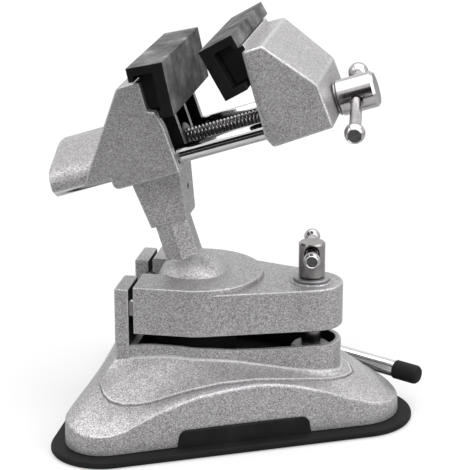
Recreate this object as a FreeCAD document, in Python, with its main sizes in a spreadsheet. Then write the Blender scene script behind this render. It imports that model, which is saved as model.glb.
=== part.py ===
"""Bench vise on a suction base: ball-jointed head, two rubber-padded jaws, lever-locked pad.

Millimetres. The part stands on z = 0 with the rear hinge towards -X and the clamp bolt
towards +X. The head is modelled upright about the ball's centre, with its guide rods
along +X and its stem along +Z, and is then placed on the ball with its resting lean.
"""
import FreeCAD, Part
import Sketcher
import math
import os
import re

V = FreeCAD.Vector
doc = FreeCAD.newDocument("suction_base_vise")
sheet = doc.addObject("Spreadsheet::Sheet", "Sizes")

SIZES = [
    # running fits and seats
    ("run_gap", 0.05, "radial gap of a turning or sliding fit"),
    ("end_play", 0.1, "play of a shoulder against its seat"),
    ("clear_gap", 0.35, "gap between pieces that pass each other"),
    # rubber pad and the outline of the base
    ("pad_thick", 3.0, "rubber pad, thickness of the lip"),
    ("pad_lip", 5.6, "rubber showing outside the casting"),
    ("nose_x", 47.3, "centre of the nose corner"),
    ("nose_rad", 24.6, "radius of the rubber at the nose corner"),
    ("foot_x", -43.8, "centres of the two rear corners"),
    ("foot_y", 49.3, "centres of the two rear corners, each side"),
    ("foot_rad", 20.6, "radius of the rubber at the rear corners"),
    ("tab_long", 52.0, "lifting tabs of the pad, length along the side"),
    ("tab_mid", 3.9, "middle of a tab, forward of the pull stud"),
    ("tab_tall", 7.0, "near lifting tab, height above the lip"),
    ("tab_far_tall", 5.0, "far lifting tab, height above the lip"),
    ("tab_thick", 2.2, "lifting tab, thickness"),
    # base casting
    ("bell_x", 3.0, "axis of the front slope"),
    ("bell_lean", 5.7, "front slope leans to the nose, degrees"),
    ("bell_high", 28.8, "crown of the front slope"),
    ("crown_rad", 31.0, "flat crown of the slopes"),
    ("hump_x", -22.0, "axis of the rear slope"),
    ("hump_high", 31.0, "crown of the rear slope"),
    ("hump_crown", 26.0, "flat crown of the rear slope"),
    ("bank_low", 14.3, "lower edge of the plain slope at the back"),
    ("bank_high", 28.4, "upper edge of the plain slope at the back"),
    ("slope_long", 56.0, "run of a slope"),
    ("slope_drop", 27.5, "fall of a slope over its run"),
    ("base_wall", 4.5, "wall of the base casting"),
    ("belly_high", 20.0, "ceiling of the hollow under the base"),
    ("pit_floor", 24.0, "floor of the hollow under the arm"),
    ("rim_top", 34.2, "top of the rim round the hollow"),
    ("rim_wall", 2.8, "thickness of the rim"),
    # hinge ears and fulcrum pins
    ("ear_back", -44.05, "rear face of the ears"),
    ("ear_front", -38.29, "front face of the ears"),
    ("ear_half", 27.4, "half width over the ears and the arm"),
    ("slot_half", 9.6, "half width of the slot for the stem"),
    ("ear_top", 58.1, "top of the ears"),
    ("pin_rad", 3.5, "fulcrum pin radius"),
    ("pin_high", 50.0, "height of the fulcrum pins"),
    ("pin_inset", 1.0, "fulcrum pin stops short of the ear's sides"),
    # ball and its seats
    ("ball_x", -16.9, "ball centre"),
    ("ball_z", 51.85, "ball centre height"),
    ("ball_rad", 15.5, "ball radius"),
    ("cup_rad", 16.5, "lower cup outer radius"),
    ("cup_top", 43.0, "lower cup rim"),
    ("seat_rad", 12.4, "friction ring outer radius"),
    ("seat_bore", 6.5, "friction ring bore"),
    ("seat_floor", 33.0, "friction ring lower face"),
    ("guide_top", 24.5, "top of the pull stud's guide"),
    # clamp arm
    ("arm_end", -36.55, "hinge end of the arm"),
    ("arm_under", 39.5, "underside of the arm"),
    ("arm_low", 56.9, "lower top surface, towards the nose"),
    ("arm_high", 59.06, "raised top surface, round the ball"),
    ("disc_rad", 27.7, "raised round of the arm"),
    ("arm_nose", 12.6, "nose radius of the arm"),
    ("ring_rad", 8.9, "raised ring round the bolt hole"),
    ("ring_top", 57.5, "top of that ring"),
    ("edge_round", 1.5, "rounding of the casting edges"),
    # clamp bolt and its bar
    ("bolt_x", 30.6, "clamp bolt axis"),
    ("bolt_rad", 4.0, "clamp bolt shank radius"),
    ("bolt_end", 14.0, "lower end of the clamp bolt"),
    ("head_rad", 5.3, "bolt head radius"),
    ("head_top", 73.1, "top of the bolt head"),
    ("boss_rad", 8.0, "threaded boss of the bolt"),
    ("boss_top", 30.0, "top of that boss"),
    ("wash_rad", 7.4, "bolt washer radius"),
    ("wash_thick", 1.0, "bolt washer thickness"),
    ("cbar_rad", 2.0, "clamp bar radius"),
    ("cbar_span", 31.6, "clamp bar, between its end knobs"),
    ("cbar_high", 69.2, "clamp bar height"),
    ("cbar_shift", 3.2, "how far the clamp bar is pushed through"),
    ("cbar_turn", 97.3, "direction of the clamp bar, degrees"),
    ("cknob_rad", 3.3, "clamp bar knob radius"),
    # suction lever
    ("pull_x", -13.4, "axis of the pull stud"),
    ("shaft_high", 15.2, "cam shaft height"),
    ("shaft_rad", 3.0, "cam shaft radius"),
    ("cam_off", 1.25, "offset of the cam journal"),
    ("cam_rad", 2.5, "cam journal radius"),
    ("cam_long", 14.0, "cam journal length"),
    ("tail_long", 3.0, "shaft behind the cam journal"),
    ("bush_rad", 5.0, "shaft bush radius"),
    ("bush_long", 10.0, "shaft bush length"),
    ("lever_rad", 3.4, "lever rod radius"),
    ("lever_reach", 72.0, "lever, shaft axis to the tip"),
    ("lever_dip", 1.5, "lever points down at rest, degrees"),
    ("grip_rad", 3.9, "lever cap radius"),
    ("grip_long", 11.0, "lever cap length"),
    ("hub_rad", 5.0, "lever hub radius"),
    ("hub_thick", 7.4, "lever hub thickness"),
    ("stud_rad", 6.5, "pull stud radius"),
    ("eye_slack", 0.6, "play of the cam journal in the stud"),
    ("plate_rad", 24.0, "pull plate radius"),
    ("plate_thick", 2.0, "pull plate thickness"),
    ("lift", 2.5, "lift of the pad's middle"),
    # stem
    ("head_lean", -17.86, "resting lean of the head, degrees"),
    ("shank_x", 1.73, "ball and shank stand forward of the head's datum"),
    ("ball_up", 5.38, "ball centre above the head's datum"),
    ("shank_rad", 7.8, "hexagon shank, corner radius"),
    ("shank_top", 52.0, "upper end of the hexagon shank"),
    ("core_rad", 2.5, "stem screw radius"),
    ("core_head", 4.2, "stem screw head radius"),
    ("core_top", 49.0, "upper end of the stem screw"),
    ("core_seat", 10.5, "stem screw head seat below the ball centre"),
    ("core_head_high", 3.0, "stem screw head height"),
    ("grub_rad", 1.5, "grub screw radius"),
    ("grub_high", 46.0, "grub screw height"),
    # fixed jaw
    ("jaw_half", 30.9, "half width of the jaws"),
    ("jaw_low", 58.2, "underside of the jaws"),
    ("jaw_top", 96.0, "top of the jaws"),
    ("jaw_wall", 4.0, "wall of the jaw castings"),
    ("rib_out", 9.0, "ribs of the jaws off the middle"),
    ("rib_thick", 3.0, "rib thickness"),
    ("front_low", 19.3, "front face of the fixed jaw at the rods"),
    ("front_high", 15.0, "front face of the fixed jaw at its top"),
    ("back_high", 6.0, "rear edge of the fixed jaw at its top"),
    ("back_low", -19.0, "rear slope of the fixed jaw runs down to here"),
    ("back_foot", -7.7, "rear end of the fixed jaw's foot"),
    ("foot_high", 62.8, "height of that foot"),
    ("hood_end", -32.0, "open end of the rear hood"),
    ("hood_half", 30.2, "half width of the hood"),
    ("hood_low", 62.0, "lowest line of the hood's room"),
    ("hood_gap", 0.8, "room between the guide rods and the hood's eaves"),
    ("hood_crest", 78.8, "height where the two roof faces meet"),
    ("hood_round", 8.0, "rounding of the hood's shoulders"),
    ("hood_wall", 2.4, "hood wall"),
    ("hood_lip", 63.4, "lower edge of the hood"),
    ("neck_top_back", -6.8, "neck block, rear edge at its top"),
    ("neck_top_front", 14.8, "neck block, front edge at its top"),
    ("neck_top_half", 12.0, "neck block, half width at its top"),
    ("neck_low_back", -5.6, "neck block, rear edge at its foot"),
    ("neck_low_front", 9.9, "neck block, front edge at its foot"),
    ("neck_low_half", 8.4, "neck block, half width at its foot"),
    ("neck_low", 34.7, "foot of the neck block"),
    # rods and screw
    ("rod_half", 23.4, "guide rods off the middle"),
    ("rod_rad", 3.5, "guide rod radius"),
    ("axis_high", 63.8, "height of the rods and the screw"),
    ("rod_back", -32.8, "rear end of the rods"),
    ("rod_front", 66.0, "front end of the rods"),
    ("screw_rad", 4.5, "screw thread radius"),
    ("journal_rad", 4.0, "plain part of the screw"),
    ("screw_back", -31.5, "rear end of the screw"),
    ("thread_front", 51.0, "front end of the thread"),
    ("nut_rad", 7.2, "thread bush radius"),
    ("nut_back", 4.0, "thread bush rear end"),
    ("spin_head_rad", 7.1, "screw head radius"),
    ("spin_head_end", 95.9, "outer end of the screw head"),
    ("collar_thick", 1.0, "washer behind the screw head"),
    ("collar_rad", 6.6, "washer radius"),
    ("clip_thick", 1.0, "retaining clip thickness"),
    ("clip_rad", 6.6, "retaining clip radius"),
    ("tbar_x", 88.0, "turning bar, place along the screw"),
    ("tbar_rad", 2.3, "turning bar radius"),
    ("tbar_span", 50.0, "turning bar between its knobs"),
    ("tbar_shift", 7.0, "how far the turning bar is pushed through"),
    ("tbar_turn", 15.3, "turning bar points down at rest, degrees"),
    ("tknob_rad", 4.0, "turning bar knob radius"),
    # movable jaw
    ("move_face", 56.2, "front face of the movable jaw"),
    ("move_toe", 54.9, "lower front edge of the movable jaw"),
    ("move_crest", 64.0, "rear edge of the movable jaw's top"),
    ("move_back", 80.0, "rear face of the movable jaw"),
    ("move_shoulder", 75.7, "height of the rear shoulder"),
    ("move_half_back", 24.9, "half width of the movable jaw at its rear"),
    ("roll_rad", 1.2, "roll pin radius"),
    ("roll_x", 59.5, "roll pins along the rods"),
    ("roll_proud", 0.9, "roll pins stand out below the jaw"),
    # rubber jaw pads
    ("grip_half", 35.0, "half length of the jaw pads"),
    ("grip_deep", 14.4, "jaw pad, front to back"),
    ("grip_tall", 20.8, "jaw pad height"),
    ("grip_face", 4.7, "jaw pad, thickness of its face"),
    ("grip_roof", 3.4, "jaw pad, thickness of its top"),
    ("grip_floor", 2.6, "jaw pad, thickness of its floor"),
    ("grip_hook", 2.1, "jaw pad, hook behind the bar"),
    ("hook_drop", 5.6, "jaw pad, depth of the hook"),
    ("lean_fixed", 5.5, "lean of the fixed pad, degrees"),
    ("lean_move", 12.0, "lean of the movable pad, degrees"),
    ("pad_fixed_x", 25.4, "lower front edge of the fixed pad"),
    ("pad_move_x", 45.8, "lower front edge of the movable pad"),
    ("pad_low", 80.6, "lower edge of the pads' faces"),
    ("floor_fixed", 5.8, "floor of the fixed pad, front to back"),
    ("floor_move", 9.6, "floor of the movable pad, front to back"),
    ("bar_half", 27.0, "half length of the bars in the pads"),
]
for row, (alias, number, _note) in enumerate(SIZES, start=1):
    sheet.set(f"A{row}", alias)
    sheet.set(f"B{row}", str(number))
    sheet.setAlias(f"B{row}", alias)
doc.recompute()


def size(text):
    """The number that an expression on the sheet gives."""
    number = sheet.evalExpression(text)
    return float(getattr(number, "Value", number))


ALIASES = {alias for alias, _number, _note in SIZES}


def bound(text):
    """The same expression as the features outside the sheet read it."""
    return re.sub(r"[a-z_]+\w*", lambda word: ("Sizes." if word[0] in ALIASES else "") + word[0], text)


def drive(thing, path, text):
    thing.setExpression(path, bound(text))


# ---------------------------------------------------------------- sketches

def pin_point(sketch, geometry, position, x, y):
    """Hold one point of a sketch at two expressions."""
    for kind, text, axis in (("DistanceX", x, -2), ("DistanceY", y, -1)):
        if text == "0":
            sketch.addConstraint(Sketcher.Constraint("PointOnObject", geometry, position, axis))
        else:
            number = sketch.addConstraint(Sketcher.Constraint(kind, geometry, position, size(text)))
            drive(sketch, f"Constraints[{number}]", text)


def draw_outline(sketch, corners):
    """A closed outline through corners (x, y) or (x, y, radius), all expressions."""
    points = [V(size(corner[0]), size(corner[1]), 0) for corner in corners]
    count = len(points)
    joints = []
    for index, corner in enumerate(corners):
        point = points[index]
        back = (points[index - 1] - point).normalize()
        ahead = (points[(index + 1) % count] - point).normalize()
        if len(corner) == 2:
            joints.append((point, point, None))
            continue
        radius = size(corner[2])
        half = back.getAngle(ahead) / 2
        reach = radius / math.tan(half)
        middle = point + (back + ahead).normalize() * (radius / math.sin(half))
        joints.append((point + back * reach, point + ahead * reach, middle))
    lines = []
    for index in range(count):
        following = joints[(index + 1) % count]
        lines.append(sketch.addGeometry(Part.LineSegment(joints[index][1], following[0])))
    for index, corner in enumerate(corners):
        before, after = lines[index - 1], lines[index]
        if len(corner) == 2:
            sketch.addConstraint(Sketcher.Constraint("Coincident", before, 2, after, 1))
            pin_point(sketch, after, 1, corner[0], corner[1])
            continue
        entry, leave, middle = joints[index]
        circle = Part.Circle(middle, V(0, 0, 1), size(corner[2]))
        left = (entry - points[index]).cross(leave - points[index]).z < 0
        first, last = (entry, leave) if left else (leave, entry)
        angles = [math.atan2(end.y - middle.y, end.x - middle.x) for end in (first, last)]
        if angles[1] < angles[0]:
            angles[1] += 2 * math.pi
        arc = sketch.addGeometry(Part.ArcOfCircle(circle, *angles))
        entry_end, leave_end = (1, 2) if left else (2, 1)
        sketch.addConstraint(Sketcher.Constraint("Tangent", before, 2, arc, entry_end))
        sketch.addConstraint(Sketcher.Constraint("Tangent", arc, leave_end, after, 1))
        number = sketch.addConstraint(Sketcher.Constraint("Radius", arc, size(corner[2])))
        drive(sketch, f"Constraints[{number}]", corner[2])
        tip = sketch.addGeometry(Part.Point(points[index]), True)
        pin_point(sketch, tip, 1, corner[0], corner[1])
        sketch.addConstraint(Sketcher.Constraint("PointOnObject", tip, 1, before))
        sketch.addConstraint(Sketcher.Constraint("PointOnObject", tip, 1, after))


def draw_hull(sketch, circles):
    """The belt round circles that are given anticlockwise, as (x, y, radius) expressions."""
    rounds = [(size(x), size(y), size(radius)) for x, y, radius in circles]
    count = len(rounds)
    normals = []
    for index in range(count):
        ax, ay, ar = rounds[index]
        bx, by, br = rounds[(index + 1) % count]
        away = math.atan2(by - ay, bx - ax)
        normals.append(away - math.acos((ar - br) / math.hypot(bx - ax, by - ay)))
    arcs = []
    for index, (x, y, radius) in enumerate(rounds):
        circle = Part.Circle(V(x, y, 0), V(0, 0, 1), radius)
        start, end = normals[index - 1], normals[index]
        while end < start:
            end += 2 * math.pi
        arcs.append(sketch.addGeometry(Part.ArcOfCircle(circle, start, end)))
    lines = []
    for index in range(count):
        ends = []
        for x, y, radius in (rounds[index], rounds[(index + 1) % count]):
            ends.append(V(x + radius * math.cos(normals[index]), y + radius * math.sin(normals[index]), 0))
        lines.append(sketch.addGeometry(Part.LineSegment(*ends)))
    for index, (x, y, radius) in enumerate(circles):
        pin_point(sketch, arcs[index], 3, x, y)
        number = sketch.addConstraint(Sketcher.Constraint("Radius", arcs[index], size(radius)))
        drive(sketch, f"Constraints[{number}]", radius)
        sketch.addConstraint(Sketcher.Constraint("Tangent", arcs[index], 2, lines[index], 1))
        following = arcs[(index + 1) % count]
        sketch.addConstraint(Sketcher.Constraint("Tangent", lines[index], 2, following, 1))


# ---------------------------------------------------------------- solids

UPRIGHT = FreeCAD.Rotation(V(1, 0, 0), 90)


def place(thing, x="0", y="0", z="0", axis=V(0, 0, 1), turn="0"):
    """Put a piece at (x, y, z), turned about one axis, all four as expressions."""
    thing.Placement = FreeCAD.Placement(V(size(x), size(y), size(z)), FreeCAD.Rotation(axis, size(turn)))
    for path, text in (("Base.x", x), ("Base.y", y), ("Base.z", z), ("Rotation.Angle", turn)):
        if text != "0":
            drive(thing, f"Placement.{path}", text)
    return thing


def box(name, x, y, z):
    """A box between pairs of expressions along each axis."""
    thing = doc.addObject("Part::Box", name)
    for path, (low, high) in (("Length", x), ("Width", y), ("Height", z)):
        drive(thing, path, f"({high}) - ({low})")
    return place(thing, x[0], y[0], z[0])


def rod(name, radius, low, high, x="0", y="0", axis=None, z="0", turn="90"):
    """A cylinder from low to high along Z, or along the direction Z is turned to about an axis."""
    thing = doc.addObject("Part::Cylinder", name)
    drive(thing, "Radius", radius)
    drive(thing, "Height", f"({high}) - ({low})")
    if axis is None:
        return place(thing, x, y, low)
    if axis == "X":
        return place(thing, low, y, z, V(0, 1, 0), turn)
    return place(thing, x, low, z, V(1, 0, 0), "-" + turn)


def ball(name, radius, x="0", y="0", z="0"):
    thing = doc.addObject("Part::Sphere", name)
    drive(thing, "Radius", radius)
    return place(thing, x, y, z)


def hexagon(name, corner_radius, low, high):
    """The shank's hexagon, with two corners on the Y axis."""
    thing = doc.addObject("Part::Prism", name)
    thing.Polygon = 6
    drive(thing, "Circumradius", corner_radius)
    drive(thing, "Height", f"({high}) - ({low})")
    return place(thing, "shank_x", "0", low, turn="30")


def slab(name, draw, shape, low, high, upright=False):
    """An outline pushed from low to high: along Z, or along -Y when it stands upright."""
    sketch = doc.addObject("Sketcher::SketchObject", name + "_outline")
    draw(sketch, shape)
    if upright:
        place(sketch, "0", f"-({low})", "0", V(1, 0, 0), "90")
    else:
        place(sketch, "0", "0", low)
    thing = doc.addObject("Part::Extrusion", name)
    thing.Base = sketch
    thing.DirMode = "Normal"
    thing.Solid = True
    drive(thing, "LengthFwd", f"({high}) - ({low})")
    return thing


def spun(name, corners):
    """A profile of (radius, height) expressions spun about Z."""
    sketch = doc.addObject("Sketcher::SketchObject", name + "_profile")
    draw_outline(sketch, corners)
    sketch.Placement.Rotation = UPRIGHT
    thing = doc.addObject("Part::Revolution", name)
    thing.Source = sketch
    thing.Axis = V(0, 0, 1)
    thing.Angle = 360
    thing.Solid = True
    return thing


def joined(name, parts):
    thing = doc.addObject("Part::MultiFuse", name)
    thing.Shapes = parts
    return thing


def cut(name, base, tools):
    thing = doc.addObject("Part::Cut", name)
    thing.Base = base
    thing.Tool = tools[0] if len(tools) == 1 else joined(name + "_tools", tools)
    return thing


def common(name, first, second):
    thing = doc.addObject("Part::Common", name)
    thing.Base = first
    thing.Tool = second
    return thing


def pair(name, parts):
    """Like pieces that stay separate solids of one node."""
    thing = doc.addObject("Part::Compound", name)
    thing.Links = parts
    return thing


# ---------------------------------------------------------------- part design bodies

def new_body(label):
    body = doc.addObject("PartDesign::Body", label)
    body.Label = label
    return body


def sketch_on(body, role, lift="0"):
    """An empty sketch on one of the body's own planes, lifted off it."""
    sketch = body.newObject("Sketcher::SketchObject", f"{body.Label}_{role}")
    plane = next(feature for feature in body.Origin.OriginFeatures if feature.Role == role)
    sketch.AttachmentSupport = (plane, [""])
    sketch.MapMode = "FlatFace"
    if lift != "0":
        drive(sketch, "AttachmentOffset.Base.z", lift)
    return sketch


def turned(label, corners):
    """A turned piece: a profile of (radius, height) expressions, revolved about its own Z."""
    body = new_body(label)
    sketch = sketch_on(body, "XZ_Plane")
    draw_outline(sketch, corners)
    revolution = body.newObject("PartDesign::Revolution", label + "_turning")
    revolution.Profile = sketch
    revolution.ReferenceAxis = (sketch, ["V_Axis"])
    revolution.Angle = 360
    return body


def padded(body, sketch, length, both_ways=False):
    pad = body.newObject("PartDesign::Pad", f"{sketch.Name}_pad")
    pad.Profile = sketch
    drive(pad, "Length", length)
    if both_ways:
        pad.SideType = "Symmetric"
    return pad


# ---------------------------------------------------------------- frames

NODES = []


def node(thing, label):
    thing.Label = label
    NODES.append(thing)
    return thing


def on_head(thing, x="0", y="0", z="0", turn="0"):
    """Carry a piece of the upright head to the leaning one; turn adds to the lean about Y."""
    ahead = f"({x} - shank_x)"
    above = f"({z} - ball_up)"
    place(
        thing,
        f"ball_x + {ahead} * cos(head_lean) + {above} * sin(head_lean)",
        y,
        f"ball_z - {ahead} * sin(head_lean) + {above} * cos(head_lean)",
        V(0, 1, 0),
        f"head_lean + ({turn})",
    )
    return thing


def in_line(thing, x="0", y="0", z="0"):
    """Lay a turned piece with its own Z along the guide rods."""
    return place(thing, x, y, z, V(0, 1, 0), "90")


# The long sides run from the nose corner to a rear corner at this angle to the X axis.
SIDE_TURN = (
    "(atan(foot_y / (nose_x - foot_x))"
    " - asin((nose_rad - foot_rad) / sqrt((nose_x - foot_x)^2 + foot_y^2)))"
)
# How far a long side of the casting lies from the axis of the pull stud.
SIDE_REACH = f"((nose_x - pull_x) * sin({SIDE_TURN}) + nose_rad - pad_lip)"


def on_side(thing, far=True):
    """Carry a piece drawn with +Y pointing out of a long side to that side."""
    return place(thing, "pull_x", turn=f"-1 * {SIDE_TURN}" if far else f"180 deg + {SIDE_TURN}")


# ================================================================ base

def base_outline(inset):
    """The three corners of the base, drawn in by an inset."""
    return [
        ("nose_x", "0", f"nose_rad - ({inset})"),
        ("foot_x", "foot_y", f"foot_rad - ({inset})"),
        ("foot_x", "-foot_y", f"foot_rad - ({inset})"),
    ]


def arm_outline(inset="0"):
    """The round of the ball seat and the nose of the arm."""
    return [
        ("ball_x", "0", f"disc_rad - ({inset})"),
        ("bolt_x", "0", f"arm_nose - ({inset})"),
    ]


def slope(name, axis_x, lean, crown, high):
    """A round hill with a flat crown; it shapes the top of the base."""
    low = f"({high}) - slope_drop"
    hill = spun(name, [
        ("0", "-base_wall"),
        ("crown_rad + 2 * slope_long", "-base_wall"),
        ("crown_rad + 2 * slope_long", low),
        (f"{crown} + slope_long", low),
        (crown, high),
        ("0", high),
    ])
    return place(hill, axis_x, axis=V(0, 1, 0), turn=lean)


def rear_bank(name, drop="0"):
    """The room over the plain slope between the rear edge and the ears."""
    back_edge = "foot_x - foot_rad + pad_lip"
    return slab(name, draw_outline, [
        (f"{back_edge} - 10", f"bank_low - ({drop})"),
        (back_edge, f"bank_low - ({drop})"),
        ("ear_back", f"bank_high - ({drop})"),
        ("ear_back", "ear_top + 1"),
        (f"{back_edge} - 10", "ear_top + 1"),
    ], "-foot_y - foot_rad", "foot_y + foot_rad", upright=True)


def tab_box(name, far, slack="0"):
    """The room of a lifting tab in a long side."""
    middle, tall = ("tab_mid", "tab_far_tall") if far else ("-tab_mid", "tab_tall")
    shape = box(
        name,
        (f"{middle} - tab_long / 2 - ({slack})", f"{middle} + tab_long / 2 + ({slack})"),
        (f"{SIDE_REACH} - tab_thick - ({slack})", f"{SIDE_REACH} + ({slack})"),
        ("pad_thick - 1", f"pad_thick + {tall} + ({slack})"),
    )
    return on_side(pair(name + "_set", [shape]), far)


pad_plate = slab("pad_plate", draw_hull, base_outline("0"), "0", "pad_thick")
node(joined("suction_pad", [pad_plate, tab_box("near_tab", False), tab_box("far_tab", True)]), "suction_pad")

skirt = slab("skirt", draw_hull, base_outline("pad_lip"), "pad_thick", "ear_top")
hill_pair = joined("hill_pair", [
    slope("front_hill", "bell_x", "bell_lean", "crown_rad", "bell_high"),
    slope("rear_hill", "hump_x", "0", "hump_crown", "hump_high"),
])
hills = cut("hills", hill_pair, [rear_bank("rear_bank")])
rim_round = slab("rim_round", draw_hull, arm_outline(), "belly_high", "rim_top")
rim_rear = box("rim_rear", ("ear_back", "ball_x"), ("-ear_half", "ear_half"), ("belly_high", "rim_top"))
ears = box("ears", ("ear_back", "ear_front"), ("-ear_half", "ear_half"), ("belly_high", "ear_top"))
shell = joined("base_shell", [common("base_hill", skirt, hills), rim_round, rim_rear, ears])

pit_round = slab("pit_round", draw_hull, arm_outline("rim_wall"), "pit_floor", "arm_high")
pit_rear = box(
    "pit_rear",
    ("ear_front + rim_wall", "ball_x"),
    ("-ear_half + rim_wall", "ear_half - rim_wall"),
    ("pit_floor", "ear_top"),
)
ear_slot = box(
    "ear_slot",
    ("ear_back - 1", "ear_front + rim_wall + 1"),
    ("-slot_half", "slot_half"),
    ("rim_top", "ear_top + 1"),
)
belly_room = slab("belly_room", draw_hull, base_outline("pad_lip + base_wall"), "0", "belly_high")
ceiling_pair = joined("ceiling_pair", [
    slope("front_ceiling", "bell_x", "bell_lean", "crown_rad", "bell_high - base_wall"),
    slope("rear_ceiling", "hump_x", "0", "hump_crown", "hump_high - base_wall"),
])
ceiling = cut("ceiling", ceiling_pair, [rear_bank("rear_ceiling_bank", "base_wall")])
belly = common("belly", belly_room, ceiling)
hollow = cut("hollow_shell", shell, [belly, pit_round, pit_rear, ear_slot])

bolt_boss = rod("bolt_boss", "boss_rad", "pad_thick + base_wall", "boss_top", "bolt_x")
ball_cup = rod("ball_cup", "cup_rad", "belly_high - 1", "cup_top", "ball_x")
shaft_boss = on_side(pair("shaft_boss_set", [
    rod(
        "shaft_boss",
        "bush_rad + rib_thick",
        f"{SIDE_REACH} - bush_long - rib_thick",
        f"{SIDE_REACH} - 1",
        axis="Y",
        z="shaft_high",
    ),
]))
shaft_holes = on_side(pair("shaft_hole_set", [
    rod("shaft_hole", "cam_rad + cam_off + clear_gap", "0", f"{SIDE_REACH} + 2", axis="Y", z="shaft_high"),
    rod("bush_hole", "bush_rad", f"{SIDE_REACH} - bush_long", f"{SIDE_REACH} + 4", axis="Y", z="shaft_high"),
]))
PIN_X = "(ear_front + arm_end) / 2"
base_cutters = [
    rod("tap_hole", "bolt_rad + run_gap", "0", "ear_top", "bolt_x"),
    ball("cup_sphere", "ball_rad + clear_gap", "ball_x", "0", "ball_z"),
    rod("ring_pocket", "seat_rad", "seat_floor", "ball_z", "ball_x"),
    rod("stud_guide", "stud_rad + run_gap", "pad_thick", "guide_top", "pull_x"),
    rod("pin_groove", "pin_rad", "-ear_half - 1", "ear_half + 1", PIN_X, axis="Y", z="pin_high"),
    shaft_holes,
    tab_box("near_notch", False, "run_gap"),
    tab_box("far_notch", True, "run_gap"),
]
base_block = joined("base_block", [hollow, bolt_boss, ball_cup, shaft_boss])
node(cut("base_casting", base_block, base_cutters), "base_casting")

friction_ring = cut(
    "friction_ring",
    rod("ring_blank", "seat_rad", "seat_floor", "cup_top - 1", "ball_x"),
    [
        rod("ring_bore", "seat_bore", "seat_floor - 1", "cup_top", "ball_x"),
        ball("ring_sphere", "ball_rad + run_gap", "ball_x", "0", "ball_z"),
    ],
)
node(friction_ring, "ball_friction_ring")

pins = []
for side in ("-1", "1"):
    inner = f"{side} * (slot_half + pin_inset)"
    outer = f"{side} * (ear_half - pin_inset)"
    ends = (outer, inner) if side == "-1" else (inner, outer)
    pins.append(rod("fulcrum_pin" + side.strip("1"), "pin_rad", *ends, PIN_X, axis="Y", z="pin_high"))
node(pair("fulcrum_pins", pins), "fulcrum_pins")

# ---------------------------------------------------------------- suction lever and pull stud

bush = cut(
    "cam_bush_tube",
    rod("bush_body", "bush_rad", f"{SIDE_REACH} - bush_long", f"{SIDE_REACH} + 1", axis="Y", z="shaft_high"),
    [rod("bush_bore", "shaft_rad + run_gap", "0", f"{SIDE_REACH} + 2", axis="Y", z="shaft_high")],
)
node(on_side(pair("cam_shaft_bush", [bush])), "cam_shaft_bush")

HUB_IN = f"({SIDE_REACH} + 1 + clear_gap)"
shaft = joined("shaft_body", [
    rod("cam_journal", "cam_rad", "-cam_long / 2", "cam_long / 2", axis="Y", z="shaft_high - cam_off"),
    rod("shaft_bar", "shaft_rad", "cam_long / 2", f"{HUB_IN} + hub_thick", axis="Y", z="shaft_high"),
    rod("shaft_tail", "shaft_rad", "-cam_long / 2 - tail_long", "-cam_long / 2", axis="Y", z="shaft_high"),
])
node(on_side(pair("cam_shaft", [shaft])), "cam_shaft")

hub = cut(
    "hub_body",
    rod("hub_disc", "hub_rad", HUB_IN, f"{HUB_IN} + hub_thick", axis="Y", z="shaft_high"),
    [rod("hub_bore", "shaft_rad", "0", f"{HUB_IN} + hub_thick + 1", axis="Y", z="shaft_high")],
)
node(on_side(pair("lever_hub", [hub])), "lever_hub")

HUB_MID = f"({HUB_IN} + hub_thick / 2)"


def along_lever(name, radius, near, far):
    """A round piece on the lever's line, between two distances from the shaft axis."""
    thing = doc.addObject("Part::Cylinder", name)
    drive(thing, "Radius", radius)
    drive(thing, "Height", f"({far}) - ({near})")
    return place(
        thing,
        f"({near}) * cos(lever_dip)",
        HUB_MID,
        f"shaft_high - ({near}) * sin(lever_dip)",
        V(0, 1, 0),
        "90 + lever_dip",
    )


lever = cut(
    "lever_body",
    along_lever("lever_bar", "lever_rad", "hub_rad - 1.5", "lever_reach - 2"),
    [rod("lever_hub_room", "hub_rad", HUB_IN, f"{HUB_IN} + hub_thick", axis="Y", z="shaft_high")],
)
node(on_side(pair("suction_lever", [lever])), "suction_lever")
cap = cut(
    "cap_body",
    along_lever("cap_outer", "grip_rad", "lever_reach - grip_long", "lever_reach"),
    [along_lever("cap_bore", "lever_rad", "lever_reach - grip_long - 1", "lever_reach - 2")],
)
node(on_side(pair("lever_cap", [cap])), "lever_cap")

PLATE_LOW = "(pad_thick + clear_gap)"
PLATE_TOP = f"({PLATE_LOW} + plate_thick)"
plate = cut(
    "pull_plate_disc",
    rod("plate_disc", "plate_rad", PLATE_LOW, PLATE_TOP, "pull_x"),
    [rod("plate_bore", "stud_rad / 2", "0", "guide_top", "pull_x")],
)
node(plate, "pull_plate")
stud_blank = joined("stud_blank", [
    rod("stud_body", "stud_rad", PLATE_TOP, "guide_top - lift - clear_gap", "pull_x"),
    rod("stud_spigot", "stud_rad / 2", PLATE_LOW, PLATE_TOP, "pull_x"),
])
eye = on_side(pair("stud_eye_set", [
    box(
        "stud_eye",
        ("-cam_rad - cam_off - clear_gap", "cam_rad + cam_off + clear_gap"),
        ("-stud_rad - 1", "stud_rad + 1"),
        ("shaft_high - cam_off - cam_rad - eye_slack", "shaft_high - cam_off + cam_rad + eye_slack"),
    ),
]))
node(cut("pull_stud", stud_blank, [eye]), "pull_stud")

# ================================================================ clamp arm and bolt

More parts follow.
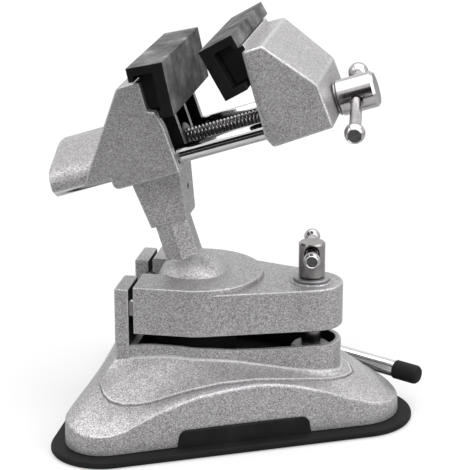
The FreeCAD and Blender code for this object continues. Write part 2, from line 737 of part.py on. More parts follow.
arm_body = joined("arm_body", [
    slab("arm_wedge", draw_hull, arm_outline(), "arm_under", "arm_low"),
    rod("arm_disc", "disc_rad", "arm_under", "arm_high", "ball_x"),
    box("arm_fingers", ("arm_end", "ball_x"), ("-ear_half", "ear_half"), ("arm_under", "arm_high")),
    rod("bolt_ring", "ring_rad", "arm_low - 1", "ring_top", "bolt_x"),
])
arm_hollow = slab(
    "arm_hollow",
    draw_hull,
    [
        ("ball_x + cup_rad + jaw_wall + 9", "0", "arm_nose - jaw_wall + 1"),
        ("bolt_x - ring_rad", "0", "arm_nose - 6"),
    ],
    "arm_under - 1",
    "arm_low - jaw_wall",
)
arm_cutters = [
    box(
        "arm_slot",
        ("arm_end - 1", "ball_x"),
        ("-slot_half", "slot_half"),
        ("arm_under - 1", "arm_high + 1"),
    ),
    box(
        "arm_trim",
        ("ball_x - disc_rad - 1", "arm_end"),
        ("-ear_half - 2", "ear_half + 2"),
        ("arm_under - 1", "arm_high + 1"),
    ),
    rod("arm_cup_room", "cup_rad + 2 * clear_gap", "arm_under - 1", "cup_top + 1", "ball_x"),
    rod("arm_mouth", "ball_rad + clear_gap", "arm_under", "ball_z + 1", "ball_x"),
    ball("arm_sphere", "ball_rad + run_gap", "ball_x", "0", "ball_z"),
    rod("arm_bolt_hole", "bolt_rad + clear_gap", "arm_under - 1", "ring_top + 1", "bolt_x"),
    rod("arm_groove", "pin_rad + run_gap", "-ear_half - 1", "ear_half + 1", PIN_X, axis="Y", z="pin_high"),
    arm_hollow,
]
node(cut("clamp_arm", arm_body, arm_cutters), "clamp_arm")

washer = turned("clamp_washer", [
    ("bolt_rad + run_gap", "0"),
    ("wash_rad", "0"),
    ("wash_rad", "wash_thick"),
    ("bolt_rad + run_gap", "wash_thick"),
])
node(place(washer, "bolt_x", z="ring_top + end_play"), "clamp_washer")

HEAD_SEAT = "(ring_top + wash_thick + 2 * end_play)"


def clamp_bar_hole(name, radius, half):
    """A cross bore through the bolt head, or the bar in it."""
    return pair(name + "_set", [rod(name, radius, f"-({half})", half, axis="Y")])


def on_clamp_bar(thing, shift="0"):
    """Lay a piece drawn along Y in the bolt head's cross hole."""
    return place(
        thing,
        f"bolt_x + ({shift}) * cos(cbar_turn)",
        f"({shift}) * sin(cbar_turn)",
        "cbar_high",
        turn="cbar_turn - 90",
    )


bolt = joined("bolt_blank", [
    rod("bolt_shank", "bolt_rad", "bolt_end", HEAD_SEAT, "bolt_x"),
    rod("bolt_head", "head_rad", HEAD_SEAT, "head_top", "bolt_x"),
])
bolt_hole = on_clamp_bar(clamp_bar_hole("bolt_cross_hole", "cbar_rad + run_gap", "head_rad + 1"))
node(cut("clamp_bolt", bolt, [bolt_hole]), "clamp_bolt")
clamp_rod = clamp_bar_hole("clamp_rod", "cbar_rad", "(cbar_span - cknob_rad) / 2")
node(on_clamp_bar(clamp_rod, "cbar_shift"), "clamp_bar")


def bar_knobs(name, knob_radius, bar_radius, span):
    """The two balls on the ends of a bar along Y, bored for the bar."""
    balls = pair(name + "_balls", [
        ball(name + "_near_ball", knob_radius, y=f"-{span} / 2"),
        ball(name + "_far_ball", knob_radius, y=f"{span} / 2"),
    ])
    socket = f"({span} - {knob_radius}) / 2"
    return cut(name, balls, [rod(name + "_socket", bar_radius, "-" + socket, socket, axis="Y")])


clamp_knobs = bar_knobs("clamp_knob", "cknob_rad", "cbar_rad", "cbar_span")
node(on_clamp_bar(pair("clamp_knob_set", [clamp_knobs]), "cbar_shift"), "clamp_bar_knobs")

# ================================================================ ball stem

stem_blank = joined("stem_blank", [
    ball("stem_ball", "ball_rad", "shank_x", "0", "ball_up"),
    hexagon("stem_shank", "shank_rad", "ball_up + ball_rad / 2", "shank_top"),
])
stem = cut("stem_body", stem_blank, [
    rod("core_bore", "core_rad + run_gap", "ball_up - ball_rad", "shank_top + 1", "shank_x"),
    rod("core_counterbore", "core_head + clear_gap", "ball_up - ball_rad - 1", "ball_up - core_seat", "shank_x"),
])
node(on_head(pair("ball_stem", [stem])), "ball_stem")

core = turned("stem_screw", [
    ("0", "-core_seat - core_head_high"),
    ("core_head", "-core_seat - core_head_high"),
    ("core_head", "-core_seat - end_play"),
    ("core_rad", "-core_seat - end_play"),
    ("core_rad", "core_top - ball_up"),
    ("0", "core_top - ball_up"),
])
node(on_head(core, "shank_x", "0", "ball_up"), "stem_screw")

# ================================================================ fixed jaw

POCKET_LOW = "(axis_high + rod_rad + rib_thick)"
POCKET_TOP = "(jaw_top - jaw_wall - edge_round)"
FRONT_FAR = "(front_low + jaw_wall)"


def rear_slope(height):
    """The inner face of the fixed jaw's sloping back at a height."""
    share = f"(({height}) - foot_high) / (jaw_top - foot_high)"
    return f"back_low + {share} * (back_high - back_low) + 1.3 * jaw_wall"


def rib_rooms(name, corners, half):
    """The three hollows that two ribs leave in the front of a jaw."""
    middle = "rib_out - rib_thick / 2"
    side = "rib_out + rib_thick / 2"
    return [
        slab(name + "_middle", draw_outline, corners, f"-({middle})", middle, upright=True),
        slab(name + "_near", draw_outline, corners, side, half, upright=True),
        slab(name + "_far", draw_outline, corners, f"-({half})", f"-({side})", upright=True),
    ]


def pad_bar(name, sign, reach):
    """The bar that a rubber pad clips over, in the pad's own leaning frame."""
    near, far = f"{sign} * (grip_face + run_gap)", f"{sign} * ({reach})"
    ends = (far, near) if sign == "-1" else (near, far)
    tall = ("grip_floor + run_gap", "grip_tall - grip_roof - run_gap")
    return box(name, ends, ("-bar_half", "bar_half"), tall)


jaw_plate = slab("jaw_plate", draw_outline, [
    ("front_low", "jaw_low"),
    ("front_low", "pad_low - jaw_wall"),
    ("front_high", "jaw_top", "edge_round"),
    ("back_high", "jaw_top", "edge_round"),
    ("back_low", "foot_high"),
    ("back_foot", "foot_high"),
    ("back_foot + edge_round", "jaw_low", "edge_round"),
], "-jaw_half", "jaw_half", upright=True)
fixed_rooms = rib_rooms("fixed_room", [
    (FRONT_FAR, POCKET_LOW),
    (FRONT_FAR, POCKET_TOP),
    (rear_slope(POCKET_TOP), POCKET_TOP),
    (rear_slope(POCKET_LOW), POCKET_LOW),
], "jaw_half - jaw_wall")


HOOD_EAVE = "(axis_high + rod_rad + hood_gap + hood_wall)"


def hood_arch(name, inset, back, front):
    """The roof-shaped section of the rear hood, from back to front."""
    sketch = doc.addObject("Sketcher::SketchObject", name + "_outline")
    draw_outline(sketch, [
        (f"hood_half - ({inset})", "neck_low"),
        (f"hood_half - ({inset})", f"{HOOD_EAVE} - ({inset})", f"hood_round - ({inset})"),
        ("0", f"hood_crest - ({inset})", "hood_half"),
        (f"-hood_half + ({inset})", f"{HOOD_EAVE} - ({inset})", f"hood_round - ({inset})"),
        (f"-hood_half + ({inset})", "neck_low"),
    ])
    sketch.Placement = FreeCAD.Placement(V(size(back), 0, 0), FreeCAD.Rotation(V(1, 1, 1), 120))
    drive(sketch, "Placement.Base.x", back)
    thing = doc.addObject("Part::Extrusion", name)
    thing.Base = sketch
    thing.DirMode = "Normal"
    thing.Solid = True
    drive(thing, "LengthFwd", f"({front}) - ({back})")
    return thing


hood_trim = box(
    "hood_trim",
    ("hood_end - 1", "front_low"),
    ("-jaw_half", "jaw_half"),
    ("neck_low", "hood_lip"),
)
hood = cut("hood", hood_arch("hood_outer", "0", "hood_end", "back_foot"), [
    hood_arch("hood_inner", "hood_wall", "hood_end - 1", "back_foot + 1"),
    hood_trim,
])
hood_room = common(
    "hood_room",
    hood_arch("hood_space", "hood_wall", "hood_end", "back_foot"),
    slab("hood_limit", draw_outline, [
        ("hood_end", "hood_low"),
        ("back_foot", "hood_low"),
        ("back_foot", "foot_high + jaw_wall"),
        ("back_low", "hood_crest"),
        ("hood_end", "hood_crest"),
    ], "-hood_half", "hood_half", upright=True),
)
neck_block = doc.addObject("Part::Wedge", "neck_block")
for path, text in (
    ("Xmin", "neck_low_back"),
    ("Xmax", "neck_low_front"),
    ("Zmin", "-neck_low_half"),
    ("Zmax", "neck_low_half"),
    ("X2min", "neck_top_back"),
    ("X2max", "neck_top_front"),
    ("Z2min", "-neck_top_half"),
    ("Z2max", "neck_top_half"),
    ("Ymin", "neck_low"),
    ("Ymax", "jaw_low + edge_round"),
):
    drive(neck_block, path, text)
neck_block.Placement.Rotation = UPRIGHT
fixed_bar = place(
    pair("fixed_bar_set", [pad_bar("fixed_bar", "-1", "grip_deep - grip_hook - run_gap")]),
    "pad_fixed_x", "0", "pad_low", V(0, 1, 0), "lean_fixed",
)
jaw_shell = cut("jaw_shell", joined("jaw_solid", [jaw_plate, neck_block]), fixed_rooms + [hood_room])
fixed_blank = joined("fixed_blank", [jaw_shell, hood, fixed_bar])
GRUB_FACE = (
    "(neck_low_front + (grub_high - neck_low) * (neck_top_front - neck_low_front)"
    " / (jaw_low + edge_round - neck_low))"
)
SHANK_FLAT = "(shank_x + shank_rad * cos(30))"
fixed_cutters = [
    hexagon("shank_socket", "shank_rad + run_gap", "neck_low - 1", "shank_top + run_gap"),
    rod("core_socket", "core_rad + run_gap", "neck_low", "core_top + 3", "shank_x"),
    rod("grub_hole", "grub_rad", "shank_x", f"{GRUB_FACE} + 2", axis="X", z="grub_high"),
    rod("nut_room", "nut_rad", "nut_back", f"{FRONT_FAR}", axis="X", z="axis_high"),
    rod("screw_way", "screw_rad + clear_gap", "back_low", "nut_back", axis="X", z="axis_high"),
    rod("near_rod_way", "rod_rad + run_gap", "back_low", FRONT_FAR, axis="X", y="-rod_half", z="axis_high"),
    rod("far_rod_way", "rod_rad + run_gap", "back_low", FRONT_FAR, axis="X", y="rod_half", z="axis_high"),
]
fixed_jaw = cut("fixed_jaw_body", fixed_blank, fixed_cutters)
node(on_head(pair("fixed_jaw", [fixed_jaw])), "fixed_jaw")
grub = rod("grub_screw", "grub_rad", SHANK_FLAT, f"{GRUB_FACE} - clear_gap", axis="X", z="grub_high")
shank_room = hexagon("grub_shank_room", "shank_rad + run_gap", "neck_low - 1", "shank_top")
grub = cut("grub_body", grub, [shank_room])
node(on_head(pair("stem_grub_screw", [grub])), "stem_grub_screw")
thread_bush = turned("thread_bush_body", [
    ("screw_rad + run_gap", "nut_back"),
    ("nut_rad", "nut_back"),
    ("nut_rad", "front_low - clear_gap"),
    ("screw_rad + run_gap", "front_low - clear_gap"),
])
in_line(thread_bush, z="axis_high")
node(on_head(pair("thread_bush", [thread_bush])), "thread_bush")

# ================================================================ rubber jaw pads


def jaw_pad(label, sign, floor, x, lean):
    """A rubber channel that hooks over the bar of a jaw."""
    body = new_body(label)
    sketch = sketch_on(body, "XZ_Plane")
    draw_outline(sketch, [
        ("0", "0"),
        (f"{sign} * {floor}", "0"),
        (f"{sign} * {floor}", "grip_floor"),
        (f"{sign} * grip_face", "grip_floor"),
        (f"{sign} * grip_face", "grip_tall - grip_roof"),
        (f"{sign} * (grip_deep - grip_hook)", "grip_tall - grip_roof"),
        (f"{sign} * (grip_deep - grip_hook)", "grip_tall - hook_drop"),
        (f"{sign} * grip_deep", "grip_tall - hook_drop"),
        (f"{sign} * grip_deep", "grip_tall"),
        ("0", "grip_tall"),
    ])
    padded(body, sketch, "2 * grip_half", both_ways=True)
    return node(on_head(body, x, "0", "pad_low", lean), label)


jaw_pad("fixed_jaw_pad", "-1", "floor_fixed", "pad_fixed_x", "lean_fixed")
jaw_pad("movable_jaw_pad", "1", "floor_move", "pad_move_x", "-lean_move")

# ================================================================ movable jaw

move_side = slab("move_side", draw_outline, [
    ("move_toe", "jaw_low + jaw_wall", "edge_round"),
    ("move_toe + 2", "jaw_low", "edge_round"),
    ("move_back", "jaw_low", "edge_round"),
    ("move_back - 1", "move_shoulder", "edge_round"),
    ("move_crest", "jaw_top", "edge_round"),
    ("move_face", "jaw_top", "edge_round"),
], "-jaw_half", "jaw_half", upright=True)
move_plan = slab("move_plan", draw_outline, [
    ("move_toe - 1", "-jaw_half"),
    ("move_face + 2", "-jaw_half"),
    ("move_back", "-move_half_back"),
    ("move_back", "move_half_back"),
    ("move_face + 2", "jaw_half"),
    ("move_toe - 1", "jaw_half"),
], "jaw_low - 1", "jaw_top + 1")
ROOM_BACK = "(move_back - jaw_wall - 2)"
move_rooms = rib_rooms("move_room", [
    ("move_toe - 1", POCKET_LOW),
    (ROOM_BACK, POCKET_LOW),
    (ROOM_BACK, "move_shoulder - edge_round"),
    ("move_crest - jaw_wall + edge_round", POCKET_TOP),
    ("move_toe - 1", POCKET_TOP),
], "move_half_back - rib_thick")
move_bar = place(
    joined("move_bar_set", [
        pad_bar("move_bar", "1", "grip_deep - grip_hook - run_gap"),
        box(
            "move_web",
            ("grip_face + run_gap", "grip_deep + clear_gap"),
            ("-bar_half", "bar_half"),
            ("grip_floor + run_gap", "grip_tall - hook_drop - clear_gap"),
        ),
    ]),
    "pad_move_x", "0", "pad_low", V(0, 1, 0), "-lean_move",
)
move_shell = cut("move_shell", common("move_wedge", move_side, move_plan), move_rooms)
CLIP_SEAT = "(move_face + 2 * clip_thick)"
roll_holes = [
    rod("near_roll_hole", "roll_rad", "jaw_low - 1", "axis_high", "roll_x", "-rod_half"),
    rod("far_roll_hole", "roll_rad", "jaw_low - 1", "axis_high", "roll_x", "rod_half"),
]
move_cutters = [
    rod("journal_way", "journal_rad + run_gap", "move_toe - 1", "move_back + 1", axis="X", z="axis_high"),
    rod("clip_room", "clip_rad + clear_gap", "move_toe - 1", CLIP_SEAT, axis="X", z="axis_high"),
    rod("near_rod_seat", "rod_rad", "move_toe - 1", "rod_front", axis="X", y="-rod_half", z="axis_high"),
    rod("far_rod_seat", "rod_rad", "move_toe - 1", "rod_front", axis="X", y="rod_half", z="axis_high"),
    pair("roll_hole_pair", roll_holes),
]
movable = cut("movable_jaw_body", joined("move_blank", [move_shell, move_bar]), move_cutters)
node(on_head(pair("movable_jaw", [movable])), "movable_jaw")

for side, off in (("near", "-rod_half"), ("far", "rod_half")):
    bar = rod(f"{side}_rod_bar", "rod_rad", "rod_back", "rod_front", axis="X", y=off, z="axis_high")
    hole = rod(f"{side}_rod_pin_hole", "roll_rad", "jaw_low - 1", "axis_high", "roll_x", off)
    guide = cut(f"{side}_rod_body", bar, [hole])
    node(on_head(pair(f"guide_rod_{side}", [guide])), f"guide_rod_{side}")
node(on_head(pair("rod_roll_pins", [
    rod("near_roll_pin", "roll_rad", "jaw_low - roll_proud", "axis_high", "roll_x", "-rod_half"),
    rod("far_roll_pin", "roll_rad", "jaw_low - roll_proud", "axis_high", "roll_x", "rod_half"),
])), "rod_roll_pins")

# ================================================================ lead screw

HEAD_IN = "(move_back + collar_thick + end_play)"
CLIP_BACK = f"({CLIP_SEAT} - end_play - clip_thick)"
NECK_RAD = "(journal_rad - 0.6)"
screw_turning = turned("screw_turning", [
    ("0", "screw_back"),
    ("screw_rad", "screw_back"),
    ("screw_rad", "thread_front"),
    ("journal_rad", "thread_front"),
    ("journal_rad", CLIP_BACK),
    (NECK_RAD, CLIP_BACK),
    (NECK_RAD, f"{CLIP_SEAT} - end_play"),
    ("journal_rad", f"{CLIP_SEAT} - end_play"),
    ("journal_rad", HEAD_IN),
    ("spin_head_rad", HEAD_IN),
    ("spin_head_rad", "spin_head_end - 1"),
    ("spin_head_rad - 1", "spin_head_end"),
    ("0", "spin_head_end"),
])
in_line(screw_turning, z="axis_high")


def on_turning_bar(thing, shift="0"):
    """Lay a piece drawn along Y in the cross hole of the screw head, near end down."""
    place(
        thing,
        "tbar_x",
        f"({shift}) * cos(tbar_turn)",
        f"axis_high + ({shift}) * sin(tbar_turn)",
        V(1, 0, 0),
        "tbar_turn",
    )
    return thing


HEAD_HALF = "(spin_head_rad + 1)"
screw_hole = pair("screw_cross_hole_set", [
    rod("screw_cross_hole", "tbar_rad + run_gap", "-" + HEAD_HALF, HEAD_HALF, axis="Y"),
])
lead = cut("lead_screw_body", screw_turning, [on_turning_bar(screw_hole)])
node(on_head(pair("lead_screw", [lead])), "lead_screw")

collar = turned("collar_ring", [
    ("journal_rad + run_gap", "move_back"),
    ("collar_rad", "move_back"),
    ("collar_rad", "move_back + collar_thick"),
    ("journal_rad + run_gap", "move_back + collar_thick"),
])
node(on_head(pair("screw_washer", [in_line(collar, z="axis_high")])), "screw_washer")
clip = turned("clip_ring", [
    (NECK_RAD, CLIP_BACK),
    ("clip_rad", CLIP_BACK),
    ("clip_rad", f"{CLIP_SEAT} - end_play"),
    (NECK_RAD, f"{CLIP_SEAT} - end_play"),
])
node(on_head(pair("screw_retaining_clip", [in_line(clip, z="axis_high")])), "screw_retaining_clip")

BAR_END = "((tbar_span - tknob_rad) / 2)"
turning_rod = pair("turning_rod_set", [rod("turning_rod", "tbar_rad", "-" + BAR_END, BAR_END, axis="Y")])
node(on_head(pair("turning_bar", [on_turning_bar(turning_rod, "-tbar_shift")])), "turning_bar")
turning_knobs = pair("turning_knob_set", [bar_knobs("turning_knob", "tknob_rad", "tbar_rad", "tbar_span")])
node(on_head(pair("turning_bar_knobs", [on_turning_bar(turning_knobs, "-tbar_shift")])), "turning_bar_knobs")


# ---------------------------------------------------------------- hand-over

doc.recompute()
for thing in doc.Objects:
    if "Invalid" in thing.State or "Error" in thing.State:
        raise RuntimeError(f"{thing.Name} did not build: {thing.State}")
os.makedirs("parts", exist_ok=True)
for thing in NODES:
    if thing.Shape.isNull() or not thing.Shape.isValid():
        raise RuntimeError(f"{thing.Label} is not a valid shape")
    thing.Shape.exportStep(f"parts/{thing.Label}.step")
    print(thing.Label, len(thing.Shape.Solids), round(thing.Shape.Volume))
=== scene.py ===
"""Suction base vise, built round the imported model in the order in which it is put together."""
from math import acos, asin, atan2, ceil, cos, hypot, pi, radians, sin, sqrt, tan

import bmesh
import bpy
from mathutils import Matrix, Vector


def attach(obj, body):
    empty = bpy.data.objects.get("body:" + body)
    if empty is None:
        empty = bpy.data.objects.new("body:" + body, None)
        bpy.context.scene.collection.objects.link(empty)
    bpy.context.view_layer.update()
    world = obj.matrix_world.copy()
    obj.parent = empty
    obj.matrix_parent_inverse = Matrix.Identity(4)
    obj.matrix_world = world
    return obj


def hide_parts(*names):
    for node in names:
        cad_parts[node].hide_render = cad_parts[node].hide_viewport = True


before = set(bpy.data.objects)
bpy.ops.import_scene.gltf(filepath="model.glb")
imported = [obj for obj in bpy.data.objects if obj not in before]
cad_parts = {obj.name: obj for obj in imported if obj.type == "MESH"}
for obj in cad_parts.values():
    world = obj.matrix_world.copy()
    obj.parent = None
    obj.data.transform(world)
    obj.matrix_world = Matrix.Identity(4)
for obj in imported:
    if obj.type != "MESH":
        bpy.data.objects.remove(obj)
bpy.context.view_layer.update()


# ---- Suction pad ----------------------------------------------------------------------
# The sole of the vise: one moulding of soft dark rubber with a rounded lip all round and a
# lifting tab on each long side. It lies under the casting, whose edge grips it, and its
# underside is dished so that it takes hold of a smooth table.

class Wire:
    """One output of a node. Arithmetic on it adds Math nodes."""

    def __init__(self, nodes, socket):
        self.nodes, self.socket = nodes, socket

    def calc(self, operation, *values):
        return self.nodes.node("Math", {"operation": operation}, dict(enumerate(values)))

    def __add__(self, other):
        return self.calc("ADD", self, other)

    def __sub__(self, other):
        return self.calc("SUBTRACT", self, other)

    def __rsub__(self, other):
        return self.calc("SUBTRACT", other, self)

    def __mul__(self, other):
        return self.calc("MULTIPLY", self, other)

    def __truediv__(self, other):
        return self.calc("DIVIDE", self, other)

    def __rtruediv__(self, other):
        return self.calc("DIVIDE", other, self)

    __radd__, __rmul__ = __add__, __mul__


class Nodes:
    """A tree of nodes, with one method that adds any other node."""

    def __init__(self, tree):
        self.tree = tree

    def fill(self, node, values):
        """Sockets of a node: constants, or wires for what changes over the surface."""
        for name, value in values.items():
            if isinstance(value, Wire):
                self.tree.links.new(value.socket, node.inputs[name])
            else:
                node.inputs[name].default_value = value

    def node(self, kind, settings, values, output=0):
        """A node of a kind: its settings first, then the values or wires of its sockets."""
        node = self.tree.nodes.new(kind if "Node" in kind else "ShaderNode" + kind)
        stops = settings.pop("stops", None)
        for name, value in settings.items():
            setattr(node, name, value)
        if stops:
            ramp = node.color_ramp.elements
            while len(ramp) < len(stops):
                ramp.new(0.5)
            for element, (position, grey) in zip(ramp, stops):
                element.position, element.color = position, tone(grey)
        self.fill(node, values)
        return Wire(self, node.outputs[output])


class Finish(Nodes):
    """A material, with the nodes that the finishes share."""

    def __init__(self, name, constants):
        self.material = bpy.data.materials.new(name)
        self.material.use_nodes = True
        super().__init__(self.material.node_tree)
        self.place = self.node("TexCoord", {}, {}, "Object")
        self.feed(constants)

    def feed(self, values):
        """Sockets of the surface shader."""
        self.fill(self.tree.nodes["Principled BSDF"], values)

    def mark(self, name):
        """The value that a mark of this name has on each face."""
        return self.node("Attribute", {"attribute_name": name}, {}, "Fac")

    def noise(self, size, detail=2.0, roughness=0.5, place=None):
        """Cloudy noise from 0 to 1 whose lumps are about size metres across."""
        sockets = {"Vector": place or self.place, "Scale": 1 / size, "Detail": detail, "Roughness": roughness}
        return self.node("TexNoise", {}, sockets)

    def ramp(self, value, *stops):
        """Greys along a value, as (position, grey) stops."""
        return self.node("ValToRGB", {"stops": stops}, {"Fac": value})

    def mix(self, factor, first, second):
        return self.node("Mix", {"data_type": "RGBA"}, {0: factor, 6: first, 7: second}, 2)

    def stretch(self, *factors):
        """The piece's own coordinates, multiplied along X, Y and Z."""
        return self.node("VectorMath", {"operation": "MULTIPLY"}, {0: self.place, 1: factors})

    def bump(self, height, depth, strength=1.0):
        """Relief of a depth in metres, fed to the surface."""
        sockets = {"Height": height, "Distance": depth, "Strength": strength}
        self.feed({"Normal": self.node("Bump", {}, sockets)})


def tone(grey):
    """A grey, or a colour given as three numbers, with full opacity."""
    red, green, blue = grey if isinstance(grey, tuple) else (grey, grey, grey)
    return red, green, blue, 1.0


def pad_finish():
    """Matt moulding rubber with a trace of bloom in it."""
    finish = Finish("soft_pad_rubber", {"Specular IOR Level": 0.12})
    bloom = finish.noise(0.011, 4.0)
    grain = finish.noise(0.0007, 3.0, 0.7)
    finish.feed({
        "Base Color": finish.ramp(bloom * 0.7 + grain * 0.3, (0.3, 0.006), (0.55, 0.01), (0.8, 0.018)),
        "Roughness": 0.5 + bloom * 0.2,
    })
    finish.bump(grain, 0.00008, 0.6)
    return finish.material


def at(x, y, z):
    """A move to a place."""
    return Matrix.Translation((x, y, z))


def about(axis, degrees):
    """A turn about an axis."""
    return Matrix.Rotation(radians(degrees), 4, axis)


def linked(name, data):
    """A new object in the scene."""
    thing = bpy.data.objects.new(name, data)
    bpy.context.scene.collection.objects.link(thing)
    return thing


SHARP = radians(32)
UPRIGHT = about("X", 90)


def belt(circles, inset=0.0, step=1.6, waist=0.0):
    """Points round circles (x, y, radius) and inside them by an inset; waist hollows the sides."""
    count = len(circles)
    turns = []
    for index, (ax, ay, ar) in enumerate(circles):
        bx, by, br = circles[(index + 1) % count]
        away = atan2(by - ay, bx - ax)
        turns.append(away - acos((ar - br) / hypot(bx - ax, by - ay)))
    points = []
    for index, (x, y, radius) in enumerate(circles):
        start, end = turns[index - 1], turns[index]
        while end < start:
            end += 2 * pi
        pieces = max(6, round(radius * (end - start) / step))
        for number in range(pieces + 1):
            angle = start + (end - start) * number / pieces
            points.append(Vector((x, y)) + (radius - inset) * Vector((cos(angle), sin(angle))))
        bx, by, br = circles[(index + 1) % count]
        out = Vector((cos(end), sin(end)))
        last, following = points[-1], Vector((bx, by)) + out * (br - inset)
        pieces = max(2, round((following - last).length / step))
        for number in range(1, pieces):
            share = number / pieces
            drawn = out * waist * sin(pi * share) ** 2
            points.append(last.lerp(following, share) - drawn)
    return points


def level(outline, height):
    return [Vector((x, y, height)) for x, y in outline]


def loft(rows):
    """A closed skin over rows of equally many points; the first and last row are capped."""
    count = len(rows[0])
    points = [point for row in rows for point in row]
    faces = [list(range(count))[::-1], [len(points) - count + index for index in range(count)]]
    for start in range(0, len(points) - count, count):
        for index in range(count):
            after = (index + 1) % count
            faces.append([start + index, start + after, start + count + after, start + count + index])
    return points, faces


def solid(points, faces, soften=0.0):
    """A bmesh in millimetres with its faces outwards and, if asked, its sharp edges rounded."""
    shape = bmesh.new()
    corners = [shape.verts.new(point) for point in points]
    for face in faces:
        shape.faces.new([corners[index] for index in face])
    bmesh.ops.recalc_face_normals(shape, faces=shape.faces)
    return rounded(shape, soften)


def rounded(shape, soften, steps=3, painted_highlight=0.25):
    """Round every edge of a bmesh that is sharper than a shallow angle, and mark the roundings for a painted
    highlight.
    """
    shape.faces.layers.float.new("painted_highlight")
    if soften:
        edges = [edge for edge in shape.edges if edge.calc_face_angle(0) > SHARP]
        made = bmesh.ops.bevel(
            shape, geom=edges, offset=soften, segments=steps, profile=0.5, affect="EDGES", clamp_overlap=False)
        highlight_faces(shape, made["faces"], painted_highlight)
    return shape


def highlight_faces(shape, faces, share):
    """Mark faces as an edge that gets a painted highlight: lighter paint for the light it catches."""
    layer = shape.faces.layers.float["painted_highlight"]
    for face in faces:
        face[layer] = share


def prism(outline, low, high, soften=0.0, turn=Matrix()):
    """An outline pushed from low to high along Z, then turned into place."""
    shape = solid(*loft([level(outline, low), level(outline, high)]), soften)
    shape.transform(turn)
    return shape


def corners(*marks):
    """An outline through (x, y) or (x, y, radius) corners, with the radii as arcs."""
    outline = []
    for index, mark in enumerate(marks):
        point = Vector(mark[:2])
        if len(mark) == 2:
            outline.append(point)
            continue
        back = (Vector(marks[index - 1][:2]) - point).normalized()
        ahead = (Vector(marks[(index + 1) % len(marks)][:2]) - point).normalized()
        half = back.angle(ahead) / 2
        middle = point + (back + ahead).normalized() * (mark[2] / sin(half))
        entry = point + back * (mark[2] / tan(half)) - middle
        leave = point + ahead * (mark[2] / tan(half)) - middle
        sweep = entry.angle_signed(leave)
        pieces = max(4, ceil(abs(sweep) / radians(12)))
        for number in range(pieces + 1):
            angle = -sweep * number / pieces
            outline.append(middle + Matrix.Rotation(angle, 2) @ entry)
    return outline


def carve(shape, operation, *tools):
    """Join tools to a bmesh or cut them from it, exactly."""
    helpers = []
    for number, part in enumerate((shape, *tools)):
        helper = linked("helper", bpy.data.meshes.new("helper"))
        part.to_mesh(helper.data)
        helpers.append(helper)
        if number:
            modifier = helpers[0].modifiers.new("carve", "BOOLEAN")
            modifier.operation = operation
            modifier.solver = "EXACT"
            modifier.use_self = False
            modifier.object = helper
    graph = bpy.context.evaluated_depsgraph_get()
    mesh = bpy.data.meshes.new_from_object(helpers[0].evaluated_get(graph))
    shape.clear()
    shape.from_mesh(mesh)
    for helper in helpers:
        spare = helper.data
        bpy.data.objects.remove(helper)
        bpy.data.meshes.remove(spare)
    bpy.data.meshes.remove(mesh)
    bmesh.ops.remove_doubles(shape, verts=shape.verts, dist=0.0005)
    return shape


def piece(name, shape, finish, body, slot, *nodes, place=Matrix(), marked=None, mark="bare_and_painted_shade"):
    """The finished object of a bmesh in millimetres, riding on a body in place of CAD nodes.

    A rule from a face's centre and normal, if given, is kept as the value of a mark on it.
    """
    mesh = bpy.data.meshes.new(name)
    shape.normal_update()
    values = [float(marked(face.calc_center_median(), face.normal)) for face in shape.faces] if marked else None
    shape.transform(Matrix.Scale(0.001, 4) @ place)
    shape.to_mesh(mesh)
    shape.free()
    if values:
        mesh.attributes.new(mark, "FLOAT", "FACE").data.foreach_set("value", values)
    mesh.polygons.foreach_set("use_smooth", [True] * len(mesh.polygons))
    mesh.set_sharp_from_angle(angle=SHARP)
    mesh.materials.append(finish)
    thing = linked(name, mesh)
    weigh = thing.modifiers.new("flat faces stay flat", "WEIGHTED_NORMAL")
    weigh.keep_sharp = True
    weigh.weight = 100
    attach(thing, body)
    if nodes:
        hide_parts(*nodes)
    return thing


NOSE = (47.3, 0.0, 24.6)
FOOT_X, FOOT_Y, FOOT_ROUND = -43.8, 49.3, 20.6
PAD_THICK, PAD_LIP = 3.0, 5.6
PULL_X = -13.4
SIDE_TURN = atan2(FOOT_Y, NOSE[0] - FOOT_X) - asin(
    (NOSE[2] - FOOT_ROUND) / hypot(NOSE[0] - FOOT_X, FOOT_Y))
SIDE_REACH = (NOSE[0] - PULL_X) * sin(SIDE_TURN) + NOSE[2] - PAD_LIP


def base_outline(inset, waist=0.0):
    """The three-cornered plan of the base, drawn in by an inset."""
    return belt([NOSE, (FOOT_X, FOOT_Y, FOOT_ROUND), (FOOT_X, -FOOT_Y, FOOT_ROUND)], inset, waist=waist)


def on_side(far):
    """The frame of a long side: X along it, Y out of it, from the axis of the pull stud."""
    turn = -SIDE_TURN if far else pi + SIDE_TURN
    return at(PULL_X, 0, 0) @ Matrix.Rotation(turn, 4, "Z")


def lifting_tab(far, middle, tall):
    """A tab with rounded upper corners that lies against the casting."""
    half, spread, sunk, corner, inner, outer, soften = 26.0, 1.5, 1.2, 3.2, 2.0, 0.5, 0.5
    outline = corners(
        (middle - half - spread, PAD_THICK - sunk), (middle + half + spread, PAD_THICK - sunk),
        (middle + half, PAD_THICK + tall, corner), (middle - half, PAD_THICK + tall, corner),
    )
    tab = prism(outline, -SIDE_REACH - outer, -SIDE_REACH + inner, soften, UPRIGHT)
    tab.transform(on_side(far))
    return tab


# each tab: on the far side or not, its middle along that side and its height
TABS = ((False, -3.9, 7.0), (True, 3.9, 5.0))
# the skin of the pad from below the middle, round the lip and in again: inset and height
PAD_ROWS = [
    (9.5, 0.7), (8.2, 0.0), (1.3, 0.0), (0.35, 0.3), (0.0, 0.9), (0.0, 1.9), (0.3, 2.6), (0.95, 3.0),
    (4.7, 3.0),
]
pad = solid(*loft([level(base_outline(inset), height) for inset, height in PAD_ROWS]))
for tab in TABS:
    carve(pad, "UNION", lifting_tab(*tab))
piece("rubber_sole", pad, pad_finish(), "base", "rubber", "suction_pad")


